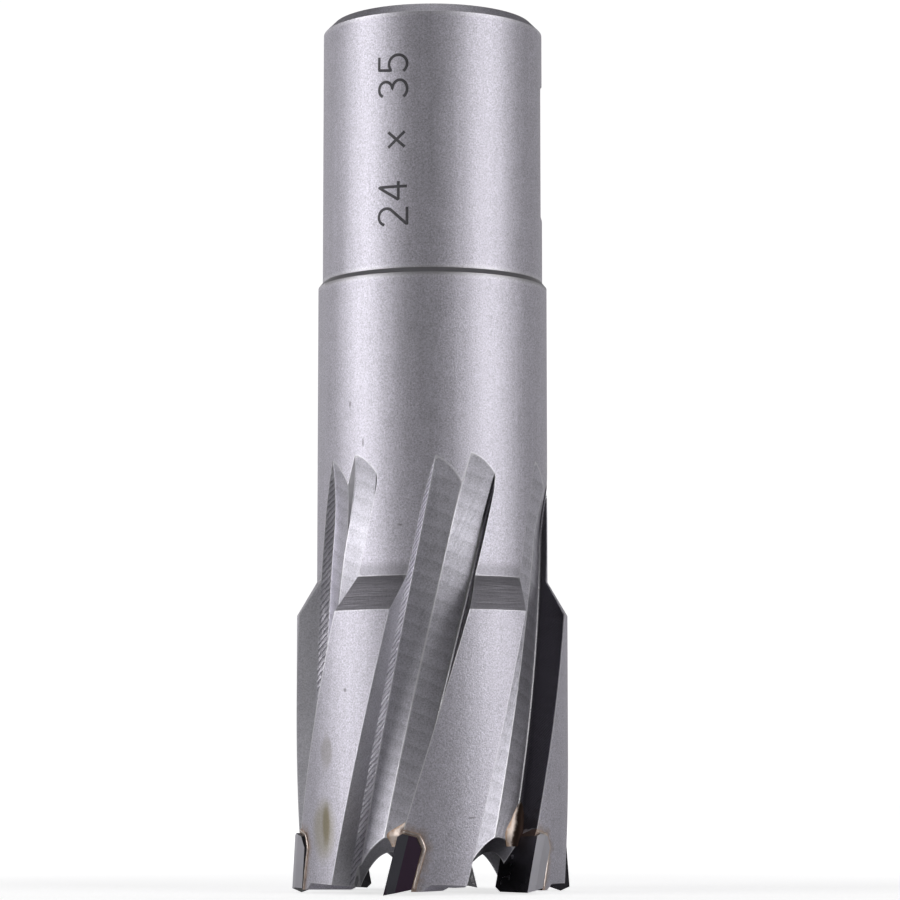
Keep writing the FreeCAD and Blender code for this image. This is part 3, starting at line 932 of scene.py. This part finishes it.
class Surface:
    """A material with one shader, the graph that feeds it and the effects it can use."""

    def __init__(self, name: str, effects: Effects) -> None:
        """Make the material.

        Args:
            name: name of the material.
            effects: shader groups.
        """
        self.effects = effects
        self.material = bpy.data.materials.new(name)
        self.g = opened(self.material)
        self.shader = self.g.add("ShaderNodeBsdfPrincipled")
        self.g.put(self.g.add("ShaderNodeOutputMaterial").inputs[0], self.shader.outputs[0])

    def finish(
        self, tone: Socket, roughness: Socket, metallic: float, relief: Socket, bump: float, depth: float,
    ) -> bpy.types.Material:
        """Feed the shader and return the material.

        Args:
            tone: base colour.
            roughness: roughness.
            metallic: share of metal.
            relief: height of the fine relief.
            bump: strength of the relief.
            depth: depth of the relief in metres.

        Returns:
            The finished material.
        """
        normal = self.g.feed(self.g.add("ShaderNodeBump"), Strength=bump, Distance=depth, Height=relief).outputs[0]
        self.g.feed(self.shader, Base_Color=tone, Roughness=roughness, Metallic=metallic, Normal=normal)
        return self.material


@dataclass(frozen=True)
class ColourSpot:
    """A spot of colour on the body, such as an oil mark, a smudge, a nick or a painted band of shade: where it is, its
    half sizes in degrees and millimetres and its colour.
    """

    angle: float
    height: float
    wide: float
    tall: float
    strength: float
    colour: Rgba
    ragged: float = 0.3


# Dark of the nicks, also used for a painted line of shade at the step from neck to shank.
NICK_AND_SHADE_LINE = (0.13, 0.12, 0.13, 1.0)
SMUDGE = (0.42, 0.42, 0.44, 1.0)
# Oil marks, smudges and nicks, and last two painted bands of shade all round the body.
STAINS_AND_SHADE_BANDS = (
    ColourSpot(-163.0, 5.3, 9.5, 3.2, 0.60, (0.40, 0.365, 0.27, 1.0), 0.2),
    ColourSpot(-161.0, 5.7, 3.2, 2.2, 0.75, (0.25, 0.215, 0.13, 1.0), 0.25),
    ColourSpot(-161.0, 11.9, 5.0, 2.4, 0.45, (0.30, 0.275, 0.25, 1.0), 0.8),
    ColourSpot(-156.2, 40.9, 1.1, 0.35, 0.7, NICK_AND_SHADE_LINE),
    ColourSpot(-147.7, 37.6, 0.6, 0.5, 0.8, NICK_AND_SHADE_LINE),
    ColourSpot(-150.2, 16.8, 0.8, 0.22, 0.7, NICK_AND_SHADE_LINE),
    ColourSpot(-127.4, 30.5, 1.6, 0.12, 0.6, NICK_AND_SHADE_LINE, 0.1),
    ColourSpot(-95.4, 6.3, 2.2, 0.10, 0.6, NICK_AND_SHADE_LINE, 0.1),
    ColourSpot(-45.1, 8.8, 0.5, 0.55, 0.5, NICK_AND_SHADE_LINE, 0.2),
    # Painted shade: a dark line all round at the step from neck to shank.
    ColourSpot(-112.0, 51.9, 400.0, 0.5, 0.75, NICK_AND_SHADE_LINE, 0.02),
    # Painted shade: a darker band all round at the edge between neck and cone.
    ColourSpot(-112.0, 26.4, 400.0, 1.3, 0.45, (0.22, 0.21, 0.235, 1.0), 0.1),
    ColourSpot(-120.0, 47.0, 14.0, 3.5, 0.10, SMUDGE, 0.5),
    ColourSpot(-100.0, 33.5, 9.0, 2.5, 0.10, SMUDGE, 0.5),
)


@dataclass(frozen=True)
class SteelFinish:
    """Finish of one zone of the steel."""

    name: str
    colour: Rgb
    roughness: float
    grain: float = 0.10
    marks: float = 0.0
    pitch: float = 0.25
    turn: float = 35.0
    worn_and_highlit: float = 0.8
    bump: float = 0.25
    steps: float = 0.0
    step_pitch: float = 0.8
    step_lean: float = 0.0
    step_slant: float = 0.0
    # Strength of a painted highlight line along the flute's corner fillet.
    painted_glint: float = 0.0
    heat: Rgba = (0.42, 0.31, 0.25, 1.0)
    reach: float = 0.9
    # Whether the zone takes the spots, the painted bands of shade and the painted highlight on the land's front edge.
    stains_and_painted_light: bool = False
    # Colour of the worn edges with their painted highlight.
    bright: Rgba = (0.93, 0.92, 0.95, 1.0)
    # Colour of that painted highlight line.
    glint_colour: Rgba = (0.9, 0.89, 0.92, 1.0)

    def build(self, effects: Effects) -> bpy.types.Material:
        """Make satin steel with grain, feed marks, heat colour by the braze, worn edges, painted highlights and painted
        shade.

        Args:
            effects: shader groups.

        Returns:
            The material.
        """
        surface = Surface(self.name, effects)
        g = surface.g
        grain = g.group(effects.grain)
        relief = grain["Fine"]
        shares = ((relief, 8.0), (grain["Mottle"], 0.8), (grain["Streak"], 0.9))
        level = g.total(*(g.times(value, self.grain * share) for value, share in shares))
        if self.marks:
            marks = g.group(effects.cutter_marks, Pitch=self.pitch, Turn=self.turn)
            lines = g.math("ADD", marks["Lines"], g.times(marks["Broad"], 0.7))
            level = g.math("ADD", level, g.times(lines, self.marks))
            relief = g.math("ADD", g.times(relief, 0.4), g.times(lines, 2.0))
        if self.steps:
            saw = g.group(effects.feed_steps, Pitch=self.step_pitch, Lean=self.step_lean, Slant=self.step_slant)["Saw"]
            level = g.math("ADD", level, g.times(saw, self.steps))
            relief = g.math("ADD", relief, g.times(saw, self.steps * 4.0))
        tone = g.scaled(self.colour, g.math("MAXIMUM", g.math("ADD", 1.0, level), 0.15))
        # Painted highlight: a bright line along the flute's corner fillet, between radii 9.12 and 9.30 mm.
        if self.painted_glint:
            radius = g.group(effects.unrolled)["Radius"]
            tone = g.mix(g.ramp(radius, 9.12, 9.30, self.painted_glint, 0.0), tone, self.glint_colour)
        # Oil marks, smudges, nicks and the two painted bands of shade.
        if self.stains_and_painted_light:
            tone = self.stained_and_shaded(surface, tone)
        heat = g.group(effects.heat, Reach=self.reach)["Mask"]
        tone = g.mix(g.times(heat, 0.75), tone, self.heat)
        # Worn edges take the bright colour: partly real rubbing, partly a painted highlight for light caught on their
        # small rounding.
        worn_and_highlit = g.times(g.times(g.group(effects.edge_worn_and_highlit)["Wear"], self.worn_and_highlit), g.less(1.0, heat))
        # Painted highlight: a bright line along each land's front edge, where the rake face meets it.
        if self.stains_and_painted_light:
            worn_and_highlit = g.math("MAXIMUM", worn_and_highlit, g.ramp(g.kept("rake_edge"), 0.03, 0.13, 0.85, 0.0))
        rough = g.math("ADD", self.roughness, g.times(grain["Mottle"], 0.10))
        rough = g.less(rough, g.times(worn_and_highlit, 0.08), clamp=True)
        return surface.finish(g.mix(worn_and_highlit, tone, self.bright), rough, 1.0, relief, self.bump, 0.00004)

    def stained_and_shaded(self, surface: Surface, tone: Socket) -> Socket:
        """Return the steel's colour with the oil stain on one land, smudges, a few nicks and two painted bands of
        shade.

        Args:
            surface: surface under construction.
            tone: colour of the clean steel.

        Returns:
            The stained colour.
        """
        g = surface.g
        flat = g.group(surface.effects.unrolled)
        ripple = g.times(g.less(g.noise(g.place(), 500.0, 4.0), 0.5), 2.2)
        for spot in STAINS_AND_SHADE_BANDS:
            across = g.math("DIVIDE", g.less(flat["Angle"], spot.angle), spot.wide)
            upward = g.math("DIVIDE", g.less(flat["Height"], spot.height), spot.tall)
            far = g.math("SQRT", g.math("ADD", g.times(across, across), g.times(upward, upward)))
            far = g.math("ADD", far, g.times(ripple, spot.ragged))
            tone = g.mix(g.ramp(far, 0.35, 1.0, spot.strength, 0.0), tone, spot.colour)
        return tone


@dataclass(frozen=True)
class PlainFinish:
    """Finish of a piece without edge or seam distances: a tone with grain and slow patches.

    The rim colour stands on faces that look outwards from the axis, the margin colour on those of them that lean to the
    cutting side by less than the margin lean, and the scorch on faces that look round the axis at the cutting side.
    """

    name: str
    colour: Rgb
    patch: Rgba
    roughness: float
    metallic: float = 1.0
    patch_size: float = 1.2
    patch_share: float = 0.6
    grain: float = 0.15
    bump: float = 0.3
    marks: float = 0.0
    rim: Rgba | None = None
    margin: Rgba | None = None
    margin_lean: float = 0.06
    scorch: Rgba | None = None

    def build(self, effects: Effects) -> bpy.types.Material:
        """Make the tone with its grain, patches and faint grinding lines.

        Args:
            effects: shader groups.

        Returns:
            The material.
        """
        surface = Surface(self.name, effects)
        g = surface.g
        grain = g.group(effects.grain, Fine_Size=0.09, Mottle_Size=self.patch_size)
        relief = grain["Fine"]
        level = g.math("ADD", 1.0, g.times(relief, self.grain * 2.0))
        if self.marks:
            lines = g.group(effects.cutter_marks, Pitch=0.12, Turn=12.0)["Lines"]
            level = g.math("ADD", level, g.times(lines, self.marks))
            relief = g.math("ADD", relief, lines)
        patches = g.ramp(grain["Mottle"], -0.12, 0.2, 0.0, self.patch_share)
        tone = self.turned(surface, g.mix(patches, g.scaled(self.colour, level), self.patch))
        rough = g.math("ADD", self.roughness, g.times(grain["Mottle"], 0.15), clamp=True)
        return surface.finish(tone, rough, self.metallic, relief, self.bump, 0.00003)

    def turned(self, surface: Surface, tone: Socket) -> Socket:
        """Return the colour with its rim, margin and scorch, where the finish has them.

        Args:
            surface: surface under construction.
            tone: colour of the other faces.

        Returns:
            The colour by the way each face looks.
        """
        if not (self.rim or self.scorch):
            return tone
        g = surface.g
        facing = g.group(surface.effects.facing)
        outer = g.ramp(facing["Outward"], 0.80, 0.92)
        if self.rim:
            tone = g.mix(outer, tone, self.rim)
        if self.margin:
            strip = g.ramp(facing["Sideways"], self.margin_lean, self.margin_lean + 0.02, 1.0, 0.0)
            tone = g.mix(g.times(strip, outer), tone, self.margin)
        if self.scorch:
            tone = g.mix(g.ramp(facing["Sideways"], -0.70, -0.45, 1.0, 0.0), tone, self.scorch)
        return tone


@dataclass(frozen=True)
class SmearFinish:
    """Finish of smeared braze: a brown fringe on the floor, a bright ridge and a scorched side on the wall."""

    name: str
    fringe: Rgba
    ridge: Rgba
    scorch: Rgba
    roughness: float
    bump: float = 0.6

    def build(self, effects: Effects) -> bpy.types.Material:
        """Colour the braze by the kept value "across", from 0 on the floor to 1 on the wall.

        Args:
            effects: shader groups.

        Returns:
            The material.
        """
        surface = Surface(self.name, effects)
        g = surface.g
        mottle = g.group(effects.grain, Fine_Size=0.1, Mottle_Size=0.8)["Mottle"]
        across = g.math("ADD", g.kept("across"), g.times(mottle, 0.7))
        tone = g.mix(g.ramp(across, 0.02, 0.20), self.fringe, self.ridge)
        tone = g.mix(g.ramp(across, 0.24, 0.50), tone, self.scorch)
        rough = g.math("ADD", self.roughness, g.times(mottle, 0.2), clamp=True)
        return surface.finish(tone, rough, 1.0, mottle, self.bump, 0.00004)


FINISHES = {
    Zone.GROUND: SteelFinish(
        "ground_steel", (0.60, 0.58, 0.645), 0.50, grain=0.20, worn_and_highlit=0.35, bump=0.6, stains_and_painted_light=True,
    ),
    Zone.FLOOR: SteelFinish(
        "milled_floor", (0.62, 0.605, 0.665), 0.48, grain=0.16, marks=0.20, pitch=0.30, turn=-62.0,
        steps=0.20, step_pitch=1.45, step_slant=0.35,
    ),
    # Painted shade: the rake face's near-black colour stands for the dark reflection it shows, not for the steel's own
    # tone.
    Zone.RAKE: SteelFinish(
        "milled_rake_face_painted_dark", (0.072, 0.068, 0.079), 0.34, grain=0.10, marks=0.25, pitch=0.18, turn=-55.0,
        steps=0.5, step_pitch=0.26, step_lean=-0.9, painted_glint=0.6, heat=(0.020, 0.013, 0.009, 1.0), reach=3.2,
    ),
    Zone.FLANK: SteelFinish(
        "milled_flank", (0.70, 0.69, 0.735), 0.48, grain=0.13, marks=0.22, pitch=0.22, turn=-60.0,
    ),
    Zone.GULLET: SteelFinish(
        "milled_gullet", (0.42, 0.41, 0.45), 0.34, grain=0.12, marks=0.18, pitch=0.15, turn=10.0,
        heat=(0.07, 0.048, 0.036, 1.0),
    ),
    Zone.BORE: SteelFinish("turned_bore", (0.50, 0.49, 0.54), 0.40, grain=0.12, marks=0.18, pitch=0.12, turn=0.0),
    Zone.STEP: SteelFinish(
        "milled_step", (0.54, 0.525, 0.58), 0.36, grain=0.10, worn_and_highlit=0.5, bump=0.6,
        steps=0.95, step_pitch=0.55, step_lean=1.4,
    ),
    Zone.CONE: SteelFinish(
        "turned_cone", (0.52, 0.50, 0.555), 0.46, grain=0.10, marks=0.5, pitch=0.16, turn=0.0, worn_and_highlit=0.3, bump=0.4,
        stains_and_painted_light=True,
    ),
}
# Painted light and shade, in part: on one carbide the pale outward faces are partly a painted lit face and the
# near-black rest partly painted shade on the rake faces.
CARBIDE_DARK = PlainFinish(
    "carbide_dark_outer_face", (0.085, 0.08, 0.092), (0.05, 0.047, 0.055, 1.0), 0.34, patch_share=0.5, grain=0.1, marks=0.1,
    bump=0.08, rim=(0.085, 0.056, 0.086, 1.0), margin=(0.122, 0.121, 0.140, 1.0),
)
CARBIDE_PALE = PlainFinish(
    "carbide_pale_outer_face", (0.085, 0.08, 0.092), (0.05, 0.047, 0.055, 1.0), 0.34, patch_share=0.5, grain=0.1,
    marks=0.1, bump=0.08, rim=(0.72, 0.705, 0.76, 1.0),
)
BRAZE_FLOWED = PlainFinish(
    "flowed_braze", (0.74, 0.585, 0.50), (0.34, 0.25, 0.205, 1.0), 0.40, patch_size=0.7, patch_share=0.8, bump=0.6,
    scorch=(0.12, 0.085, 0.07, 1.0),
)
BRAZE_BRIGHT = PlainFinish(
    "bright_braze", (0.90, 0.80, 0.74), (0.62, 0.50, 0.43, 1.0), 0.32, patch_size=0.5, patch_share=0.7, bump=0.4,
)
BRAZE_SMEARED = SmearFinish(
    "smeared_braze", (0.36, 0.26, 0.20, 1.0), (0.53, 0.455, 0.41, 1.0), (0.07, 0.045, 0.035, 1.0), 0.40,
)
ETCHED = PlainFinish(
    "etched_marking", (0.10, 0.095, 0.105), (0.16, 0.155, 0.17, 1.0), 0.6, metallic=0.6, patch_size=0.8,
)


# Braze that ran out of the seams


@dataclass
class BrazeRun:
    """Braze that has crept up the corner between floor and rake face above a tip. Sizes in millimetres."""

    tooth: int
    top: float
    width: float
    low: float = 3.9
    rows: int = 48

    def build(self, material: bpy.types.Material) -> bpy.types.Object:
        """Return the film: a fillet whose reach shrinks to nothing at its top.

        The ring at height z goes round the flute's corner K, on the floor's tangent u and the wall's v, as the curve
        P(s) = (1-s)^2 (K - f u) + 2 s (1-s) (K + 0.13 (v - u)) + s^2 (K + w v). With t from 0 to 1 up the run,
        w = w0 q 0.8 + e and f = w0 q (0.7 + 1.2 (1-t)) + e, q = sin(pi (0.2 + 0.8 t))^0.8 (1 + 0.18 sin(9 t + i)).

        Args:
            material: material of the film.

        Returns:
            The film, with the value "across" from 0 on the floor to 1 on the wall.
        """
        at = FaceCorner()
        t = np.linspace(0.0, 1.0, self.rows)
        z = self.low + (self.top - self.low) * t
        bulge = np.clip(np.sin(math.pi * (0.2 + 0.8 * t)), 0.0, 1.0) ** 0.8
        swell = self.width * bulge * (1.0 + 0.18 * np.sin(9.0 * t + self.tooth))
        taper = 0.35 * np.minimum(1.0, 3.0 * (1.0 - t))
        foot = at.corner - np.outer(swell * (0.7 + 1.2 * (1.0 - t)) + taper, at.along)
        wall = at.corner + np.outer(swell * 0.8 + taper, at.rake)
        inner = at.corner + 0.13 * (at.rake - at.along)
        s = np.linspace(0.0, 1.0, 9)
        curve = s[:, None]
        film = (1 - curve) ** 2 * foot[:, None] + curve**2 * wall[:, None] + 2 * curve * (1 - curve) * inner
        behind = np.broadcast_to(at.corner + 0.1 * at.along - 0.1 * at.rake, wall.shape)
        back = np.stack([wall + 0.06 * at.along, behind, foot - 0.06 * at.normal], axis=1)
        ring = np.concatenate([film, back], axis=1)
        rings = turned_plane(ring, at.turn(self.tooth, z)[:, None], z[:, None])
        thing = solid_object(f"braze_run_{self.tooth + 1}", rings, [Zone.GROUND] * ring.shape[1], Zone.GROUND)
        thing.data.shade_smooth()
        thing.data.set_sharp_from_angle(angle=math.radians(40.0))
        thing.data.materials.append(material)
        share = np.broadcast_to(np.concatenate([s, [1.0, 0.5, 0.0]]), ring.shape[:2])
        thing.data.attributes.new("across", "FLOAT", "POINT").data.foreach_set("value", share.ravel())
        return thing


@dataclass
class BrazeBead:
    """Bead of braze along a seam on the land, up the back of a tip and over its top. Sizes in millimetres."""

    tooth: int
    radius: float = 0.085
    land: float = 11.67
    sides: int = 12
    flatness: Pair = (0.6, 1.5)

    def path(self, body: SteelBody) -> Points:
        """Find the bead's line on the land, where the tooth's frame meets the land's cylinder.

        For a side point (y, z) the outward coordinate x solves |(O + M (x, y, z))_xy| = r, a quadratic in x.

        Args:
            body: the body, for its seats.

        Returns:
            The line's points on the first tooth.
        """
        middle, top = body.tip_thickness + body.seam / 2, body.tip_top + body.seam / 2
        corners = [
            (middle, body.lift(middle, body.heel_height + 0.25)), (middle, body.tip_top - 0.72), (middle - 0.66, top),
            (0.12, top),
        ]
        side, _ = outline(corners, [0.12] * 3, [Zone.GROUND] * 3)
        side[1:-1] = (side[:-2] + side[1:-1] + side[2:]) / 3
        matrix, origin = body.tooth_frame()
        base = origin[:2] + side @ matrix[:2, 1:].T
        a = float(matrix[:2, 0] @ matrix[:2, 0])
        b = 2.0 * base @ matrix[:2, 0]
        c = np.sum(base * base, axis=1) - self.land**2
        x = (-b + np.sqrt(b * b - 4.0 * a * c)) / (2.0 * a)
        return np.column_stack([x, side]) @ matrix.T + origin

    def build(self, material: bpy.types.Material) -> bpy.types.Object:
        """Return the bead: P(s, a) = C(s) + r(s) (0.6 cos a N(s) + 1.5 sin a B(s)) round its line.

        N looks outwards from the axis, B across the line, and
        r = r0 (1 + 0.25 sin(23 s + 2.1 i) sin(9 s + i)) sin(pi (0.03 + 0.94 s))^0.5.

        Args:
            material: material of the bead.

        Returns:
            The bead of this tooth.
        """
        line = self.path(SteelBody())
        along = unit(np.gradient(line, axis=0))
        outward = unit(line * np.array([1.0, 1.0, 0.0]))
        across = unit(np.cross(along, outward))
        s = np.linspace(0.0, 1.0, len(line))
        uneven = 1.0 + 0.25 * np.sin(23.0 * s + 2.1 * self.tooth) * np.sin(9.0 * s + self.tooth)
        r = (self.radius * uneven * np.sqrt(np.sin(math.pi * (0.03 + 0.94 * s))))[:, None, None]
        a = np.linspace(0.0, 2.0 * math.pi, self.sides, endpoint=False)[None, :, None]
        high, wide = self.flatness
        rings = line[:, None] + r * (high * np.cos(a) * outward[:, None] + wide * np.sin(a) * across[:, None])
        rings = rings @ rotation(Z, PITCH * self.tooth).T
        thing = solid_object(f"braze_bead_{self.tooth + 1}", rings, [Zone.GROUND] * self.sides, Zone.GROUND)
        thing.data.shade_smooth()
        thing.data.materials.append(material)
        return thing


def unit(vectors: Points) -> Points:
    """Return vectors scaled to length 1, one per row."""
    return vectors / np.linalg.norm(vectors, axis=1)[:, None]


# Marking on the shank


def letter_arc(centre: Pair, radii: Pair, start: float, end: float) -> Points:
    """Return 15 points of P(a) = C + (rx cos a, ry sin a), a from start to end in degrees."""
    a = np.radians(np.linspace(start, end, 15))
    return np.stack([centre[0] + radii[0] * np.cos(a), centre[1] + radii[1] * np.sin(a)], axis=1)


# Centre lines of the signs, each on a cell 0.6 wide and 1 high
SIGNS = {
    "2": [np.concatenate([letter_arc((0.3, 0.72), (0.28, 0.28), 165, -35), [(0.02, 0.0), (0.6, 0.0)]])],
    "4": [np.array([(0.44, 0.0), (0.44, 1.0), (0.0, 0.3), (0.62, 0.3)])],
    "x": [np.array([(0.04, 0.08), (0.56, 0.66)]), np.array([(0.04, 0.66), (0.56, 0.08)])],
    "3": [np.concatenate([
        letter_arc((0.29, 0.76), (0.26, 0.24), 155, -90), letter_arc((0.28, 0.26), (0.31, 0.26), 90, -150),
    ])],
    "5": [np.concatenate([
        [(0.54, 1.0), (0.1, 1.0), (0.06, 0.56)], letter_arc((0.27, 0.32), (0.31, 0.32), 115, -145),
    ])],
}


@dataclass
class Marking:
    """Plain numbers on the shank, drawn with one stroke width and read upwards. Sizes in millimetres."""

    text: str = "24 x 35"
    letter: float = 2.55
    advance: float = 0.86
    stroke: float = 0.25
    step: float = 0.1
    angle: float = -132.4
    middle: float = 63.5
    radius: float = 9.528
    depth: float = 0.02

    def divided(self, line: Points) -> Points:
        """Divide a line into short steps, so that it bends with the shank.

        Args:
            line: points of the line.

        Returns:
            The divided line.
        """
        lengths = np.concatenate([[0.0], np.cumsum(np.linalg.norm(np.diff(line, axis=0), axis=1))])
        at = np.linspace(0.0, lengths[-1], max(2, int(lengths[-1] / self.step)))
        return np.stack([np.interp(at, lengths, line[:, 0]), np.interp(at, lengths, line[:, 1])], axis=1)

    def stroke_rings(self, line: Points) -> Points:
        """Return the rings of one stroke, four corners each.

        The centre line c(t) gets width, P = c(t) +- n(t) w / 2, and is laid on the cylinder as a = a0 - v / r,
        z = z0 + u, with u along the reading direction and v up the letters, between two radii.

        Args:
            line: centre line (u, v) in millimetres.

        Returns:
            The rings, points x 4 x 3.
        """
        direction = unit(np.gradient(line, axis=0))
        across = np.stack([-direction[:, 1], direction[:, 0]], axis=1) * self.stroke / 2
        outer, inner = self.radius, self.radius - self.depth
        corners = [(line + across, outer), (line - across, outer), (line - across, inner), (line + across, inner)]
        a0 = math.radians(self.angle)
        return np.stack([round_axis(radius, a0 - side[:, 1] / radius, side[:, 0]) for side, radius in corners], axis=1)

    def build(self, material: bpy.types.Material) -> bpy.types.Object:
        """Lay the numbers on the shank as a thin film.

        Args:
            material: material of the film.

        Returns:
            The marking.
        """
        advance = self.advance * self.letter
        start = self.middle - advance * len(self.text) / 2
        vertices: list[Points] = []
        faces: list[tuple[int, ...]] = []
        for place, sign in enumerate(self.text):
            for line in SIGNS.get(sign, []):
                drawn = self.divided(line * self.letter) + np.array([start + place * advance, -self.letter / 2])
                count = sum(len(points) for points in vertices)
                faces += [tuple(count + corner for corner in face) for face in tube_faces(len(drawn), 4)]
                vertices.append(self.stroke_rings(drawn).reshape(-1, 3))
        thing = linked("marking", np.concatenate(vertices) * MM, faces)
        thing.data.materials.append(material)
        return thing


# Stage, light and camera


@dataclass(frozen=True)
class Panel:
    """A rectangular lamp: its turn from the camera's side in degrees, place and size in metres and power in watts."""

    name: str
    turn: float
    far: float
    level: float
    size: Pair
    power: float

    def build(self) -> None:
        """Create the lamp, aimed at the middle of the object."""
        data = bpy.data.lights.new(self.name, "AREA")
        data.shape = "RECTANGLE"
        data.size, data.size_y = self.size
        data.energy = self.power
        thing = added(self.name, data)
        thing.location = (*(self.far * heading(FACING + self.turn)), self.level)
        aim = Vector((0.0, 0.0, 0.037)) - thing.location
        thing.rotation_euler = aim.to_track_quat("-Z", "Y").to_euler()


PANELS = (
    Panel("left_panel", -71.0, 0.45, 0.03, (0.27, 0.5), 1.52),
    Panel("right_panel", 57.0, 0.45, 0.03, (0.30, 0.5), 1.42),
    Panel("left_back_panel", -140.0, 0.55, 0.03, (0.5, 0.6), 0.50),
    Panel("right_back_panel", 140.0, 0.55, 0.03, (0.5, 0.6), 0.38),
    Panel("top_panel", 180.0, 0.10, 0.50, (0.22, 0.22), 0.14),
)


@dataclass
class Studio:
    """Pale floor, soft light from tall panels on both sides, and the camera. Millimetres and degrees."""

    distance: float = 271.1
    height: float = 8.05
    aside: float = 1.52
    pitch: float = 6.26
    lens: float = 126.28

    def camera(self) -> None:
        """Create the camera: P = Rz(-22) (aside, -distance, height), looking level plus the pitch."""
        data = bpy.data.cameras.new("camera")
        data.lens = self.lens
        data.sensor_width = 36.0
        data.clip_start = 0.01
        data.clip_end = 20.0
        thing = added("camera", data)
        place = rotation(Z, FACING + 90.0) @ np.array([self.aside, -self.distance, self.height]) * MM
        thing.location = place.tolist()
        thing.rotation_euler = (math.radians(90.0 + self.pitch), 0.0, math.radians(FACING + 90.0))
        bpy.context.scene.camera = thing

    def floor(self) -> None:
        """Create the pale floor, a flat disc whose rings widen outwards, r = 4 t^2 metres, glowing where it is seen."""
        r = (np.linspace(0.0, 1.0, 24) ** 2 * 4.0)[1:, None]
        a = np.radians(np.arange(0, 360, 7.5))
        points = round_axis(r, a, 0.0).reshape(-1, 3)
        faces = grid_faces(len(r), len(a), False)
        faces += [(len(points), i, (i + 1) % len(a)) for i in range(len(a))]
        thing = linked("floor", np.concatenate([points, np.zeros((1, 3))]), faces)
        material = bpy.data.materials.new("pale_floor")
        g = opened(material)
        diffuse = g.feed(g.add("ShaderNodeBsdfDiffuse"), Color=(0.80, 0.80, 0.81, 1.0))
        edge = g.ramp(g.length(g.place()), 0.03, 0.16, 0.72, 1.0)
        glow = g.feed(g.add("ShaderNodeEmission"), Strength=g.times(self.shown(g, 0.10), edge))
        both = g.fed("ShaderNodeAddShader", diffuse.outputs[0], glow.outputs[0])
        g.put(g.add("ShaderNodeOutputMaterial").inputs[0], both.outputs[0])
        thing.data.materials.append(material)

    def shown(self, g: Graph, share: float) -> Socket:
        """Tell where the background is seen, also through glass.

        Args:
            g: graph of the background's material.
            share: what reflections see of it.

        Returns:
            1 where it is seen, the share in reflections and 0 elsewhere.
        """
        path = g.add("ShaderNodeLightPath").outputs
        seen = g.math("ADD", path["Is Camera Ray"], path["Is Transmission Ray"], clamp=True)
        return g.math("ADD", seen, g.times(path["Is Glossy Ray"], share))

    def world(self) -> None:
        """Set the surroundings: white where seen, soft grey in reflections and as fill."""
        world = bpy.data.worlds.new("studio")
        bpy.context.scene.world = world
        g = opened(world)
        strength = g.math("ADD", self.shown(g, 0.06), 0.04)
        back = g.feed(g.add("ShaderNodeBackground"), Color=(1.0, 1.0, 1.0, 1.0), Strength=strength)
        g.put(g.add("ShaderNodeOutputWorld").inputs[0], back.outputs[0])

    def build(self) -> None:
        """Create camera, lamps, floor and surroundings."""
        self.camera()
        self.floor()
        self.world()
        for panel in PANELS:
            panel.build()
        bpy.context.scene.view_settings.view_transform = "Standard"


# The whole part


def dress_body(effects: Effects) -> bpy.types.Object:
    """Return the detailed body with a finish in each of its zones, in place of the plain one.

    Args:
        effects: shader groups.

    Returns:
        The body.
    """
    body = SteelBody().build()
    zones = np.zeros(len(body.data.polygons), int)
    body.data.polygons.foreach_get("material_index", zones)
    body.data.materials.clear()
    for zone in Zone:
        body.data.materials.append(FINISHES[zone].build(effects))
    body.data.polygons.foreach_set("material_index", zones)
    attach(body, "root")
    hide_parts("cutter_body")
    return body


def dress_nodes(effects: Effects) -> None:
    """Give the tips and seams their finishes.

    Args:
        effects: shader groups.
    """
    dark, pale, braze = CARBIDE_DARK.build(effects), CARBIDE_PALE.build(effects), BRAZE_FLOWED.build(effects)
    for i in range(TEETH):
        tip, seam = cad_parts[f"carbide_tip_{i + 1}"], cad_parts[f"braze_seam_{i + 1}"]
        # Tips 2 and 5 keep their outward faces dark, the others take the pale outward faces with their painted light.
        for node, material in ((tip, dark if i % 3 == 1 else pale), (seam, braze)):
            if not node.material_slots:
                node.data.materials.append(material)
            for slot in node.material_slots:
                slot.material = material


def spill_braze(effects: Effects) -> None:
    """Lay the braze that ran out of each seam: the film up the flute's corner and the bead on the land.

    Args:
        effects: shader groups.
    """
    smeared, bright = BRAZE_SMEARED.build(effects), BRAZE_BRIGHT.build(effects)
    for i in range(TEETH):
        top, width = ((6.6, 0.5), (6.6, 1.1), (7.8, 0.5))[i % 3]
        for piece in (BrazeRun(i, top, width).build(smeared), BrazeBead(i).build(bright)):
            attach(piece, "root")
            LOG.info("%s: %d faces", piece.name, len(piece.data.polygons))


def main() -> None:
    """Build the scene piece by piece."""
    logging.basicConfig(level=logging.INFO, format="%(message)s")
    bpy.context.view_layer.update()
    Studio().build()
    effects = Effects()
    body = dress_body(effects)
    LOG.info("%s: %d faces", body.name, len(body.data.polygons))
    dress_nodes(effects)
    LOG.info("tips and seams: %d each", TEETH)
    spill_braze(effects)
    marking = Marking().build(ETCHED.build(effects))
    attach(marking, "root")
    LOG.info("%s: %s", marking.name, Marking.text)


if __name__ == "__main__":
    main()
